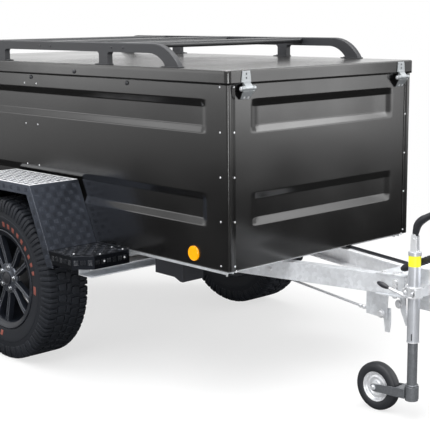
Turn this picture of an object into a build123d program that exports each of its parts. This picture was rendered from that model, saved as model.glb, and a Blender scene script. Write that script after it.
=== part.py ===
from build123d import *
import os
from math import cos, hypot, radians, sin

os.makedirs("parts", exist_ok=True)

# Box trailer with a hinged lid, in millimetres.
# +X points forward along the drawbar, +Y to the trailer's left, and the ground is z = 0.
axle_x = -580.0
wheel_z = 384.0
sides = (("right", -1), ("left", 1))


def fore(distance):
    """Place along X of a point that far forward of the wheel centres."""
    return axle_x + distance


def upright(y):
    """Plane at that Y, with X to its right and Z up. Its normal points to -Y."""
    return Plane.XZ.offset(-y)


def across(x):
    """Plane at that X, with Y to its right and Z up. Its normal points to +X."""
    return Plane.YZ.offset(x)


def save(builder, name):
    builder.part.label = name
    export_step(builder.part, f"parts/{name}.step")


# Box
box_front = fore(1265)
box_rear = fore(-1135)
box_mid = (box_front + box_rear) / 2
box_length = box_front - box_rear
half_width = 583.0
wall_bottom = 579.0
wall_top = 1334.0
sheet = 3.0
corner_radius = 10.0
wrap = 40.0
hem = 14.0

# Swaged channels of the walls: low edge, low edge of the floor, high edge of the floor, high edge
channel_depth = 12.0
channels = (
    (1134.0, 1167.0, 1242.0, 1270.0),
    (753.0, 783.0, 860.0, 893.0),
)
side_channel_inset = 120.0
front_channel_half = 458.0
channel_end_slope = 30.0

# Lid
lid_bottom = 1329.0
lid_top = 1388.0
lid_overhang = 10.0
lid_skin = 3.0
lid_corner = 20.0

# Lid hinges, on the front wall
lid_hinge_x = box_front + 22
lid_hinge_z = 1314.0
lid_hinge_y = 494.0
lid_pin_radius = 5.0
lid_knuckle_radius = 11.0
running_gap = 0.05

# Gas struts, beside the side walls inside the box
strut_y = 545.0
strut_wall = (fore(637), 1315.0)
strut_lid = (fore(268), 1353.0)
strut_cylinder_radius = 9.0
strut_rod_radius = 4.0

# Tailgate
tailgate_half = 574.0
tailgate_bottom = 606.0
tailgate_top = 1321.0
tailgate_thick = 25.0
tailgate_frame = 22.0
tailgate_hinge_x = box_rear - 8
tailgate_hinge_z = 592.0
tailgate_pin_radius = 5.0
tailgate_hinges = (-430.0, 0.0, 430.0)

# Rear posts, floor and frame
post_rear = box_rear + tailgate_thick + 8
post_front = post_rear + 42
hem_front = box_front - 30
floor_low = 592.0
floor_high = 607.0
beam_low = 482.0
beam_high = 561.0
beam_flange = 45.0
beam_wall = 4.0
rail_in = 528.0
rail_out = 562.0
beam_y_at_axle = 490.0
beam_slope = 0.23
beam_rear = fore(-150)
beam_front = fore(1760)
outrigger_back = fore(527)
outrigger_front = fore(617)

# Fenders and steps
fender_in = half_width + 0.5
fender_out = 850.0
fender_top = 857.0
fender_top_half = 258.0
fender_foot_half = 421.0
fender_foot_z = 503.0
fender_sheet = 3.0
fender_lip = 45.0
step_top = 579.0
step_bottom = 520.0
step_front = fore(626)
step_corner_y = 776.0
step_chamfer_x = fore(560)

# Wheels
tyre_radius = 384.0
tyre_in = 625.0
tyre_out = 856.0
tyre_mid = (tyre_in + tyre_out) / 2
rim_radius = 216.0
rim_flange_radius = 238.0
rim_in = 632.0
rim_out = 849.0
spoke_pairs = 5
spoke_angle = 41.0
lug_count = 24
lug_half_width = 21.0
spindle_radius = 20.0

# Axle
axle_tube_x = fore(145)
axle_tube_z = 442.0
axle_tube_size = 80.0

# Brake rod, from the overrun lever back to the axle
rod_front = Vector(fore(1557), -58, 388)
rod_rear = Vector(fore(150), 31, 507)
rod_radius = 5.0

# Overrun coupling
draw_z = 560.0
draw_radius = 25.0
housing_rear = fore(1762)
housing_front = fore(2060)
bellows_front = fore(2150)
ball_x = fore(2290)
nose_x = fore(2350)
ball_radius = 25.25
bellows_folds = 5

# Jockey wheel
jockey_x = fore(1845)
jockey_y = -135.0
jockey_tube_radius = 24.0
jockey_inner_radius = 20.0
jockey_tube_low = 321.0
jockey_tube_high = 672.0
jockey_inner_low = 87.0
jockey_wheel_x = fore(1677)
jockey_wheel_radius = 100.0
jockey_wheel_half = 25.0
jockey_axle_radius = 6.0

# Roof rack
rack_y = 570.0
rail_width = 28.0
rail_height = 40.0
rail_z = 1465.0
rack_mid = fore(65)
rail_bend = 750.0
rail_foot_out = 912.0
rail_foot_in = 830.0
post_offset = 410.0
post_half = 31.0
post_fillet = 14.0
bar_offsets = (-538.0, -30.0, 508.0)
bar_width = 88.0
bar_height = 28.0


def channel_frustum(plane_of, outer, inner, centre, half, mode):
    """Swaged channels between two parallel planes, as long low frusta."""
    for low, floor_low_z, floor_high_z, high in channels:
        with BuildSketch(plane_of(outer)) as mouth:
            with Locations((centre, (low + high) / 2)):
                Rectangle(2 * half, high - low)
        with BuildSketch(plane_of(inner)) as bottom:
            with Locations((centre, (floor_low_z + floor_high_z) / 2)):
                Rectangle(2 * (half - channel_end_slope), floor_high_z - floor_low_z)
        loft(sections=[mouth.sketch.face(), bottom.sketch.face()], ruled=True, mode=mode)


# Side walls, which wrap round the front corners
for hand, side in sides:
    outer_y = side * half_width
    inner_y = side * (half_width - sheet)
    with BuildPart() as side_wall:
        with BuildSketch(Plane.XY.offset(wall_bottom)):
            with BuildLine():
                Polyline(
                    (box_rear, outer_y),
                    (box_front, outer_y),
                    (box_front, side * (half_width - wrap)),
                    (box_front - sheet, side * (half_width - wrap)),
                    (box_front - sheet, inner_y),
                    (box_rear, inner_y),
                    close=True,
                )
            make_face()
            outer_corner = vertices().sort_by(Axis.X)[-2:].sort_by(Axis.Y)[0 if side < 0 else -1]
            fillet(outer_corner, corner_radius)
        extrude(amount=wall_top - wall_bottom)
        for z in (wall_bottom, wall_top - sheet):
            with BuildSketch(Plane.XY.offset(z)):
                with Locations(((post_front + hem_front) / 2, side * (half_width - hem / 2 - 1))):
                    Rectangle(hem_front - post_front, hem)
            extrude(amount=sheet)
        channel_frustum(
            upright, inner_y, inner_y - side * channel_depth, box_mid,
            box_length / 2 - side_channel_inset, Mode.ADD,
        )
        channel_frustum(
            upright, outer_y, outer_y - side * channel_depth, box_mid,
            box_length / 2 - side_channel_inset, Mode.SUBTRACT,
        )
    save(side_wall, f"side_wall_{hand}")

# Front wall, lapped behind the side walls' returns
front_out = box_front - sheet
with BuildPart() as front_wall:
    with BuildSketch(across(front_out - sheet)):
        with Locations((0, (wall_bottom + wall_top) / 2)):
            Rectangle(2 * (half_width - sheet), wall_top - wall_bottom)
    extrude(amount=sheet)
    for z in (wall_bottom, wall_top - sheet):
        with BuildSketch(Plane.XY.offset(z)):
            with Locations((front_out - hem / 2, 0)):
                Rectangle(hem, 2 * (half_width - hem - 20))
        extrude(amount=sheet)
    channel_frustum(
        across, front_out - sheet, front_out - sheet - channel_depth, 0, front_channel_half, Mode.ADD
    )
    channel_frustum(
        across, front_out, front_out - channel_depth, 0, front_channel_half, Mode.SUBTRACT
    )
save(front_wall, "front_wall")

# Rear frame: two posts and a sill, with the tailgate's hinge lugs
lug_half = 14.0
with BuildPart() as rear_frame:
    for hand, side in sides:
        with BuildSketch(Plane.XY.offset(floor_high)):
            with Locations(((post_front + post_rear) / 2, side * (half_width - sheet - hem - 20))):
                Rectangle(post_front - post_rear, 36)
        extrude(amount=wall_top - sheet - floor_high)
    with BuildSketch(upright(half_width - sheet)):
        with BuildLine():
            Polyline(
                (box_rear + 4, wall_bottom),
                (post_front, wall_bottom),
                (post_front, floor_high),
                (post_rear, floor_high),
                (post_rear, tailgate_bottom - 12),
                (box_rear + 4, tailgate_bottom - 12),
                close=True,
            )
        make_face()
    extrude(amount=2 * (half_width - sheet))
    for y in tailgate_hinges:
        for step in (-1, 1):
            with BuildSketch(upright(y + step * 2 * lug_half + lug_half)):
                with BuildLine():
                    Polyline(
                        (tailgate_hinge_x, tailgate_hinge_z + 9),
                        (box_rear + 5, tailgate_hinge_z),
                        (box_rear + 5, tailgate_hinge_z - 12),
                        (tailgate_hinge_x, tailgate_hinge_z - 9),
                        close=True,
                    )
                make_face()
                with Locations((tailgate_hinge_x, tailgate_hinge_z)):
                    Circle(9)
            extrude(amount=2 * lug_half)
        with BuildSketch(upright(y + 3 * lug_half)):
            with Locations((tailgate_hinge_x, tailgate_hinge_z)):
                Circle(tailgate_pin_radius)
        extrude(amount=6 * lug_half)
save(rear_frame, "rear_frame")

# Floor board
with BuildPart() as floor_panel:
    with BuildSketch(Plane.XY.offset(floor_low)):
        with Locations(((post_front + front_out - 20) / 2, 0)):
            Rectangle(front_out - 20 - post_front, 2 * (half_width - 20))
    extrude(amount=floor_high - floor_low)
save(floor_panel, "floor_panel")

# Cross members and side rails that carry the floor, all folded sections open below
cross_stations = [fore(x) for x in (-1030, -700, -350, 60, 560, 900, 1190)]


def hat(low, high):
    """Folded section between two places across it, open below."""
    return (
        (low, beam_high), (low, floor_low), (high, floor_low), (high, beam_high),
        (high - sheet, beam_high), (high - sheet, floor_low - sheet),
        (low + sheet, floor_low - sheet), (low + sheet, beam_high),
    )


with BuildPart() as cross_members:
    for x in cross_stations:
        with BuildSketch(upright(rail_out - sheet)):
            with BuildLine():
                Polyline(*hat(x - 25, x + 25), close=True)
            make_face()
        extrude(amount=2 * (rail_out - sheet))
    for hand, side in sides:
        with BuildSketch(across(post_front)):
            with BuildLine():
                Polyline(*hat(*sorted((side * rail_in, side * rail_out))), close=True)
            make_face()
        extrude(amount=hem_front - post_front)
save(cross_members, "cross_members")


def beam_y(x):
    """Distance of a drawbar beam's outer web from the centre plane at that X."""
    return beam_y_at_axle - beam_slope * (x - axle_x)


# Drawbar beams: channels open to the inside, which close to a V at the coupling
beam_length = hypot(beam_front - beam_rear, beam_slope * (beam_front - beam_rear))
for hand, side in sides:
    start = Vector(beam_rear, side * beam_y(beam_rear), beam_low)
    run = Vector(beam_front - beam_rear, -side * beam_slope * (beam_front - beam_rear), 0)
    beam_plane = Plane(origin=start, x_dir=(-run.Y, run.X, 0), z_dir=(run.X, run.Y, 0))
    inward = -side
    with BuildPart() as drawbar_beam:
        with BuildSketch(beam_plane):
            with BuildLine():
                Polyline(
                    (0, 0),
                    (inward * beam_flange, 0),
                    (inward * beam_flange, beam_wall),
                    (inward * beam_wall, beam_wall),
                    (inward * beam_wall, beam_high - beam_low - beam_wall),
                    (inward * beam_flange, beam_high - beam_low - beam_wall),
                    (inward * beam_flange, beam_high - beam_low),
                    (0, beam_high - beam_low),
                    close=True,
                )
            make_face()
        extrude(amount=beam_length)
    save(drawbar_beam, f"drawbar_beam_{hand}")

# Axle tube, which holds the rubber suspension, with its mounting pads
with BuildPart() as axle_tube:
    with BuildSketch(upright(half_width)):
        with Locations((axle_tube_x, axle_tube_z)):
            RectangleRounded(axle_tube_size, axle_tube_size, 10)
            RectangleRounded(axle_tube_size - 10, axle_tube_size - 10, 6, mode=Mode.SUBTRACT)
    extrude(amount=2 * half_width)
    with BuildSketch(across(axle_tube_x + axle_tube_size / 2 - 12)):
        with Locations((rod_rear.Y, axle_tube_z + axle_tube_size / 2 + 20)):
            Rectangle(70, 40)
    extrude(amount=8)
    with BuildSketch(Plane(origin=rod_rear, z_dir=rod_front - rod_rear)):
        Circle(rod_radius)
    extrude(amount=60, both=True, mode=Mode.SUBTRACT)
save(axle_tube, "axle_tube")

# Swing arms with the wheel spindles
arm_in = half_width + 3
arm_out = half_width + 33
tube_end = Vector(axle_tube_x, axle_tube_z)
wheel_end = Vector(axle_x, wheel_z)
arm_square = (wheel_end - tube_end).rotate(Axis.Z, 90).normalized()
with BuildPart() as swing_arms:
    for hand, side in sides:
        with BuildSketch(upright(side * arm_in)):
            with Locations((axle_tube_x, axle_tube_z)):
                Circle(34)
            with Locations((axle_x, wheel_z)):
                Circle(30)
            with BuildLine():
                Polyline(
                    tube_end + arm_square * 33, wheel_end + arm_square * 29,
                    wheel_end - arm_square * 29, tube_end - arm_square * 33, close=True,
                )
            make_face()
        extrude(amount=-side * (arm_out - arm_in))
        with BuildSketch(upright(side * (half_width - 60))):
            with Locations((axle_tube_x, axle_tube_z)):
                Circle(20)
        extrude(amount=-side * (arm_in - half_width + 60))
        with BuildSketch(upright(side * arm_out)):
            with Locations((axle_x, wheel_z)):
                Circle(spindle_radius)
        extrude(amount=-side * 130)
save(swing_arms, "swing_arms")

# Brake backplates
with BuildPart() as brake_backplates:
    for hand, side in sides:
        with BuildSketch(upright(side * arm_out)):
            with Locations((axle_x, wheel_z)):
                Circle(112)
                Circle(spindle_radius + running_gap, mode=Mode.SUBTRACT)
        extrude(amount=-side * 6)
save(brake_backplates, "brake_backplates")

# Fenders: a folded plate over each wheel, with a lip along its outer edge
fender_line = (
    (-fender_foot_half, fender_foot_z),
    (-fender_top_half, fender_top),
    (fender_top_half, fender_top),
    (fender_foot_half, fender_foot_z),
)


def fender_profile(drop):
    """Corners of the folded plate, moved square to each face by drop."""
    slant = Vector(fender_foot_half - fender_top_half, fender_foot_z - fender_top)
    shift = drop * slant.length / abs(slant.Y)
    fold = drop * (slant.length - slant.X) / abs(slant.Y)
    return (
        (fore(-fender_foot_half + shift), fender_foot_z),
        (fore(-fender_top_half + fold), fender_top - drop),
        (fore(fender_top_half - fold), fender_top - drop),
        (fore(fender_foot_half - shift), fender_foot_z),
    )


for hand, side in sides:
    with BuildPart() as fender:
        with BuildSketch(upright(side * fender_in)):
            with BuildLine():
                Polyline(*fender_profile(0), *reversed(fender_profile(fender_sheet)), close=True)
            make_face()
        extrude(amount=-side * (fender_out - fender_in))
        with BuildSketch(upright(side * (fender_out - fender_sheet))):
            with BuildLine():
                Polyline(*fender_profile(0), *reversed(fender_profile(fender_lip)), close=True)
            make_face()
        extrude(amount=-side * fender_sheet)
        with BuildSketch(upright(side * fender_in)):
            with BuildLine():
                Polyline(*fender_profile(0), *reversed(fender_profile(fender_lip)), close=True)
            make_face()
        extrude(amount=-side * fender_sheet)
    save(fender, f"fender_{hand}")


def slant_x(z):
    """X of a fender's front slant at that height."""
    rise = (z - fender_foot_z) / (fender_top - fender_foot_z)
    return fore(fender_foot_half - rise * (fender_foot_half - fender_top_half))


def slant_back_x(z):
    """X of a fender's rear slant at that height."""
    return 2 * axle_x - slant_x(z)


# Steps ahead of the fenders, with a chamfered outer corner
step_back = slant_x(step_top) - 10
with BuildPart() as steps:
    for hand, side in sides:
        outline = (
            (step_back, side * fender_in),
            (step_front, side * fender_in),
            (step_front, side * step_corner_y),
            (step_chamfer_x, side * fender_out),
            (step_back, side * fender_out),
        )
        with BuildSketch(Plane.XY.offset(step_bottom)):
            with BuildLine():
                Polyline(*outline, close=True)
            make_face()
        extrude(amount=step_top - step_bottom)
        with BuildSketch(Plane.XY.offset(step_bottom)):
            with BuildLine():
                Polyline(*outline, close=True)
            make_face()
            offset(amount=-fender_sheet)
        extrude(amount=step_top - step_bottom - fender_sheet, mode=Mode.SUBTRACT)
    with BuildSketch(upright(fender_out)):
        with BuildLine():
            Polyline(
                (step_back, step_bottom), (slant_x(step_bottom), step_bottom),
                (slant_x(step_top), step_top), (step_back, step_top), close=True,
            )
        make_face()
    extrude(amount=2 * fender_out, mode=Mode.SUBTRACT)
save(steps, "steps")

# Brackets from the drawbar beams and the frame out to the fenders and steps
with BuildPart() as fender_brackets:
    for hand, side in sides:
        inner = beam_y(outrigger_front) - 10
        with BuildSketch(upright(side * inner)):
            with BuildLine():
                Polyline(
                    (outrigger_back, beam_low),
                    (outrigger_front, beam_low),
                    (outrigger_front, beam_low + beam_wall),
                    (outrigger_back + beam_wall, beam_low + beam_wall),
                    (outrigger_back + beam_wall, step_bottom - beam_wall),
                    (outrigger_front, step_bottom - beam_wall),
                    (outrigger_front, step_bottom),
                    (outrigger_back, step_bottom),
                    close=True,
                )
            make_face()
        extrude(amount=-side * (790 - inner))
        with BuildSketch(upright(side * rail_in)):
            with BuildLine():
                Polyline(
                    (slant_back_x(beam_low), beam_low), (slant_back_x(beam_high), beam_high),
                    (fore(-fender_foot_half - 30), beam_high), (fore(-fender_foot_half - 30), beam_high - 5),
                    (slant_back_x(beam_high) - 10, beam_high - 5), (slant_back_x(beam_low) - 7, beam_low),
                    close=True,
                )
            make_face()
        extrude(amount=-side * (813 - rail_in))
        with BuildSketch(Plane.XY.offset(beam_low - 1)):
            with BuildLine():
                Polyline(
                    (beam_rear, side * beam_y(beam_rear)), (beam_front, side * beam_y(beam_front)),
                    (beam_rear, 0), close=True,
                )
            make_face()
        extrude(amount=beam_high - beam_low, mode=Mode.SUBTRACT)
save(fender_brackets, "fender_brackets")

# Tyres: a hollow carcass with a row of lugs on each shoulder.
# Section as shares of the half width beside the middle, with the radius there
tyre_half = (tyre_out - tyre_in) / 2
carcass = ((0.80, rim_radius), (0.985, 300), (0.74, 375))
air_space = ((-0.70, rim_radius), (-0.70, 345), (0.70, 345), (0.70, rim_radius))
lug_section = (
    (0.52, 370), (0.52, tyre_radius), (0.86, tyre_radius), (1.0, 345), (0.90, 325), (0.74, 350),
)
for hand, side in sides:
    with BuildPart() as tyre:
        with BuildSketch(across(axle_x)):
            with BuildLine():
                ring = carcass + tuple((-share, r) for share, r in reversed(carcass)) + air_space
                Polyline(
                    *[(side * tyre_mid + share * tyre_half, wheel_z + r) for share, r in ring],
                    close=True,
                )
            make_face()
        revolve(axis=Axis((axle_x, 0, wheel_z), (0, 1, 0)))
        for row, stagger in ((-1, 0.0), (1, 0.5)):
            for k in range(lug_count):
                turn = radians(180 + 360 / lug_count * (k + stagger))
                lug_plane = Plane(
                    origin=(axle_x, 0, wheel_z), x_dir=(0, 1, 0), z_dir=(cos(turn), 0, -sin(turn))
                )
                with BuildSketch(lug_plane):
                    with BuildLine():
                        Polyline(
                            *[
                                (side * tyre_mid + row * share * tyre_half, r)
                                for share, r in lug_section
                            ],
                            close=True,
                        )
                    make_face()
        extrude(amount=lug_half_width, both=True)
    save(tyre, f"tyre_{hand}")

# Alloy wheels with five pairs of spokes
for hand, side in sides:
    with BuildPart() as rim:
        with BuildSketch(across(axle_x)):
            with BuildLine():
                Polyline(
                    *[
                        (side * y, wheel_z + r)
                        for y, r in (
                            (rim_in, rim_flange_radius), (rim_in + 8, rim_flange_radius),
                            (rim_in + 8, rim_radius), (rim_out - 8, rim_radius),
                            (rim_out - 8, rim_flange_radius), (rim_out, rim_flange_radius),
                            (rim_out, rim_radius - 6), (rim_out - 20, rim_radius - 12),
                            (rim_in, rim_radius - 12),
                        )
                    ],
                    close=True,
                )
            make_face()
        revolve(axis=Axis((axle_x, 0, wheel_z), (0, 1, 0)))
        with BuildSketch(upright(side * (rim_out - 45))):
            with Locations((axle_x, wheel_z)):
                Circle(72)
                with PolarLocations(0, spoke_pairs, start_angle=spoke_angle):
                    for lean in (-1, 1):
                        Polygon(
                            (30, lean * 8), (rim_radius - 8, lean * 28),
                            (rim_radius - 8, lean * 54), (30, lean * 30), align=None,
                        )
                Circle(30, mode=Mode.SUBTRACT)
        extrude(amount=-side * 30)
        with BuildSketch(across(axle_x)):
            with BuildLine():
                Polyline(
                    *[
                        (side * y, wheel_z + r)
                        for y, r in (
                            (rim_out - 15, rim_radius - 16), (rim_out - 27, 78), (rim_out - 27, 30),
                            (rim_out - 13, 30), (rim_out - 13, rim_radius - 16),
                        )
                    ],
                    close=True,
                )
            make_face()
        revolve(axis=Axis((axle_x, 0, wheel_z), (0, 1, 0)), mode=Mode.SUBTRACT)
        with BuildSketch(upright(side * (rim_out - 47))):
            with Locations((axle_x, wheel_z)):
                Circle(33)
        extrude(amount=-side * 30)
    save(rim, f"rim_{hand}")

# Hubs with brake drums, which turn on the spindles
hub_in = arm_out + 8
hub_out = rim_out - 47
for hand, side in sides:
    with BuildPart() as hub_drum:
        with BuildSketch(across(axle_x)):
            with BuildLine():
                Polyline(
                    *[
                        (side * y, wheel_z + r)
                        for y, r in (
                            (hub_in, 118), (hub_in + 62, 118), (hub_in + 74, 106), (hub_in + 74, 72),
                            (hub_out, 72), (hub_out, 0), (arm_out + 132, 0),
                            (arm_out + 132, spindle_radius + running_gap),
                            (hub_in + 4, spindle_radius + running_gap),
                            (hub_in + 4, 44), (hub_in + 62, 44), (hub_in + 62, 109), (hub_in, 109),
                        )
                    ],
                    close=True,
                )
            make_face()
        revolve(axis=Axis((axle_x, 0, wheel_z), (0, 1, 0)))
    save(hub_drum, f"hub_drum_{hand}")

# Lid shell
with BuildPart() as lid_shell:
    with BuildSketch(Plane.XY.offset(lid_bottom)):
        with Locations((box_mid, 0)):
            RectangleRounded(
                box_length + 2 * lid_overhang, 2 * (half_width + lid_overhang), lid_corner
            )
    extrude(amount=lid_top - lid_bottom)
    fillet(faces().sort_by(Axis.Z)[-1].edges(), 6)
    offset(amount=-lid_skin, openings=faces().sort_by(Axis.Z)[0])
save(lid_shell, "lid_shell")

# Lid hinges: leaves with the pin on the front wall, straps on the lid
knuckle_half = 42.0
strap_half = 21.0
strap_in = box_front + lid_overhang
with BuildPart() as hinge_leaves:
    for hand, side in sides:
        y = side * lid_hinge_y
        with BuildSketch(across(box_front - sheet)):
            with Locations((y, 1292)):
                Rectangle(55, 44)
        extrude(amount=sheet + 5)
        for step in (-1, 1):
            near = strap_half + 1
            with BuildSketch(upright(y + (near if step > 0 else -near))):
                with Locations((lid_hinge_x, lid_hinge_z)):
                    Circle(lid_knuckle_radius)
                with BuildLine():
                    Polyline(
                        (box_front, lid_hinge_z), (lid_hinge_x, lid_hinge_z),
                        (lid_hinge_x + 6, lid_hinge_z - 9), (box_front + 5, 1275),
                        (box_front, 1275), close=True,
                    )
                make_face()
            extrude(amount=-step * (knuckle_half - near))
        with BuildSketch(upright(y + knuckle_half)):
            with Locations((lid_hinge_x, lid_hinge_z)):
                Circle(lid_pin_radius)
        extrude(amount=2 * knuckle_half)
save(hinge_leaves, "hinge_leaves")

with BuildPart() as hinge_straps:
    for hand, side in sides:
        y = side * lid_hinge_y
        with BuildSketch(across(strap_in)):
            with BuildLine():
                Polyline(
                    (y - 42, 1336), (y + 42, 1336), (y + 26, 1382), (y - 26, 1382), close=True
                )
            make_face()
        extrude(amount=4)
        with BuildSketch(upright(y + strap_half)):
            with BuildLine():
                Polyline(
                    (strap_in, 1345), (strap_in + 4, 1345), (lid_hinge_x + 9, lid_hinge_z + 4),
                    (lid_hinge_x - 9, lid_hinge_z + 4), (strap_in, 1336), close=True,
                )
            make_face()
            with Locations((lid_hinge_x, lid_hinge_z)):
                Circle(lid_knuckle_radius)
                Circle(lid_pin_radius + running_gap, mode=Mode.SUBTRACT)
        extrude(amount=2 * strap_half)
save(hinge_straps, "hinge_straps")

# Gas struts: ball studs on the wall and on the lid, with the cylinder and rod between them
stud_radius = 5.0
with BuildPart() as wall_strut_studs:
    for hand, side in sides:
        with BuildSketch(upright(side * (half_width - sheet))):
            with Locations(strut_wall):
                Circle(stud_radius)
        extrude(amount=side * (half_width - sheet - strut_y + 8))
save(wall_strut_studs, "wall_strut_studs")

with BuildPart() as lid_strut_studs:
    for hand, side in sides:
        skirt_in = half_width + lid_overhang - lid_skin
        with BuildSketch(upright(side * skirt_in)):
            with Locations(strut_lid):
                Circle(stud_radius)
        extrude(amount=side * (skirt_in - strut_y - 13))
        with BuildSketch(upright(side * (skirt_in - 3))):
            with Locations((strut_lid[0], (strut_lid[1] + lid_top - lid_skin) / 2)):
                Rectangle(40, lid_top - lid_skin - strut_lid[1])
        extrude(amount=side * (skirt_in - strut_y - 19))
save(lid_strut_studs, "lid_strut_studs")

strut_run = Vector(strut_lid[0] - strut_wall[0], 0, strut_lid[1] - strut_wall[1])
strut_line = strut_run.normalized()
with BuildPart() as strut_cylinders:
    for hand, side in sides:
        foot = Vector(strut_wall[0], side * strut_y, strut_wall[1])
        with BuildSketch(Plane(origin=foot + strut_line * 12, z_dir=strut_line)):
            Circle(strut_cylinder_radius)
            Circle(strut_rod_radius + running_gap, mode=Mode.SUBTRACT)
        extrude(amount=strut_run.length - 42)
        with BuildSketch(Plane(origin=foot + strut_line * 4, z_dir=strut_line)):
            Circle(strut_cylinder_radius)
        extrude(amount=10)
        with BuildSketch(upright(side * strut_y + 6)):
            with Locations(strut_wall):
                Circle(10)
                Circle(stud_radius + running_gap, mode=Mode.SUBTRACT)
        extrude(amount=12)
        with BuildSketch(upright(side * strut_y + 10)):
            with Locations(strut_wall):
                Circle(stud_radius + running_gap)
        extrude(amount=20, mode=Mode.SUBTRACT)
save(strut_cylinders, "strut_cylinders")

with BuildPart() as strut_rods:
    for hand, side in sides:
        foot = Vector(strut_wall[0], side * strut_y, strut_wall[1])
        with BuildSketch(Plane(origin=foot + strut_line * 16, z_dir=strut_line)):
            Circle(strut_rod_radius)
        extrude(amount=strut_run.length - 16)
        with BuildSketch(upright(side * strut_y + 5)):
            with Locations(strut_lid):
                Circle(8)
        extrude(amount=10)
save(strut_rods, "strut_rods")

# Roof rack: bent rails with two posts each, on pads, and flat cross bars
rail_top = rail_z + rail_height / 2
rail_low = rail_z - rail_height / 2
pad_top = lid_top + 5
with BuildPart() as rack_rails:
    for hand, side in sides:
        with BuildSketch(upright(side * rack_y + rail_width / 2)):
            with BuildLine():
                Line((rack_mid - rail_bend, rail_top), (rack_mid + rail_bend, rail_top))
                for end in (-1, 1):
                    TangentArc(
                        (rack_mid + end * rail_bend, rail_top), (rack_mid + end * rail_foot_out, pad_top),
                        tangent=(end, 0),
                    )
                Line((rack_mid - rail_foot_out, pad_top), (rack_mid + rail_foot_out, pad_top))
            make_face()
            with BuildLine():
                FilletPolyline(
                    (rack_mid - post_offset + post_half, pad_top), (rack_mid - post_offset + post_half, rail_low),
                    (rack_mid + post_offset - post_half, rail_low), (rack_mid + post_offset - post_half, pad_top),
                    radius=post_fillet,
                )
                Line(
                    (rack_mid - post_offset + post_half, pad_top),
                    (rack_mid + post_offset - post_half, pad_top),
                )
            make_face(mode=Mode.SUBTRACT)
            for end in (-1, 1):
                post_face = rack_mid + end * (post_offset + post_half)
                with BuildLine():
                    FilletPolyline(
                        (post_face, pad_top), (post_face, rail_low),
                        (rack_mid + end * (rail_bend - 25), rail_low), radius=post_fillet,
                    )
                    TangentArc(
                        (rack_mid + end * (rail_bend - 25), rail_low),
                        (rack_mid + end * rail_foot_in, pad_top), tangent=(end, 0),
                    )
                    Line((post_face, pad_top), (rack_mid + end * rail_foot_in, pad_top))
                make_face(mode=Mode.SUBTRACT)
        extrude(amount=rail_width)
    fillet(edges().filter_by(Axis.X).group_by(Axis.Z)[-1], 5)
    for hand, side in sides:
        with BuildSketch(Plane.XY.offset(lid_top)):
            with Locations((rack_mid, side * rack_y)):
                foot_mid = (rail_foot_out + rail_foot_in) / 2
                with Locations((foot_mid, 0), (-foot_mid, 0)):
                    RectangleRounded(rail_foot_out - rail_foot_in + 8, 36, 6)
                with Locations((post_offset, 0), (-post_offset, 0)):
                    RectangleRounded(2 * post_half + 8, 40, 6)
        extrude(amount=pad_top - lid_top)
save(rack_rails, "rack_rails")

with BuildPart() as rack_bars:
    for x in bar_offsets:
        with BuildSketch(upright(rack_y - rail_width / 2)):
            with Locations((rack_mid + x, rail_z + rail_height / 2 - bar_height / 2)):
                SlotOverall(bar_width, bar_height)
                SlotOverall(bar_width - 6, bar_height - 6, mode=Mode.SUBTRACT)
        extrude(amount=2 * (rack_y - rail_width / 2))
save(rack_bars, "rack_bars")

# Tailgate
with BuildPart() as tailgate_panel:
    with BuildSketch(across(box_rear)):
        with Locations((0, (tailgate_bottom + tailgate_top) / 2)):
            Rectangle(2 * tailgate_half, tailgate_top - tailgate_bottom)
    extrude(amount=tailgate_thick)
    with BuildSketch(across(box_rear + sheet)):
        with Locations((0, (tailgate_bottom + tailgate_top) / 2)):
            Rectangle(
                2 * (tailgate_half - tailgate_frame), tailgate_top - tailgate_bottom - 2 * tailgate_frame
            )
    extrude(amount=tailgate_thick - sheet, mode=Mode.SUBTRACT)
    channel_frustum(
        across, box_rear + sheet, box_rear + sheet + channel_depth, 0, front_channel_half, Mode.ADD
    )
    channel_frustum(
        across, box_rear, box_rear + channel_depth, 0, front_channel_half, Mode.SUBTRACT
    )
    for y in tailgate_hinges:
        with BuildSketch(upright(y + lug_half - 0.5)):
            with BuildLine():
                Polyline(
                    (box_rear, tailgate_bottom + 24), (box_rear - 4, tailgate_bottom + 24),
                    (tailgate_hinge_x - 9, tailgate_hinge_z), (tailgate_hinge_x + 9, tailgate_hinge_z),
                    (box_rear + 2, tailgate_bottom + 2), close=True,
                )
            make_face()
            with Locations((tailgate_hinge_x, tailgate_hinge_z)):
                Circle(9)
                Circle(tailgate_pin_radius + running_gap, mode=Mode.SUBTRACT)
        extrude(amount=2 * lug_half - 1)
save(tailgate_panel, "tailgate_panel")

with BuildPart() as tailgate_latches:
    for hand, side in sides:
        with BuildSketch(across(box_rear)):
            with Locations((side * 505, 1285)):
                RectangleRounded(46, 60, 5)
        extrude(amount=-5)
        with BuildSketch(across(box_rear - 5)):
            with Locations((side * 505, 1300)):
                Circle(13)
        extrude(amount=-10)
        with BuildSketch(across(box_rear - 9)):
            with Locations((side * 505, 1276)):
                RectangleRounded(16, 62, 6)
        extrude(amount=-8)
save(tailgate_latches, "tailgate_latches")

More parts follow.
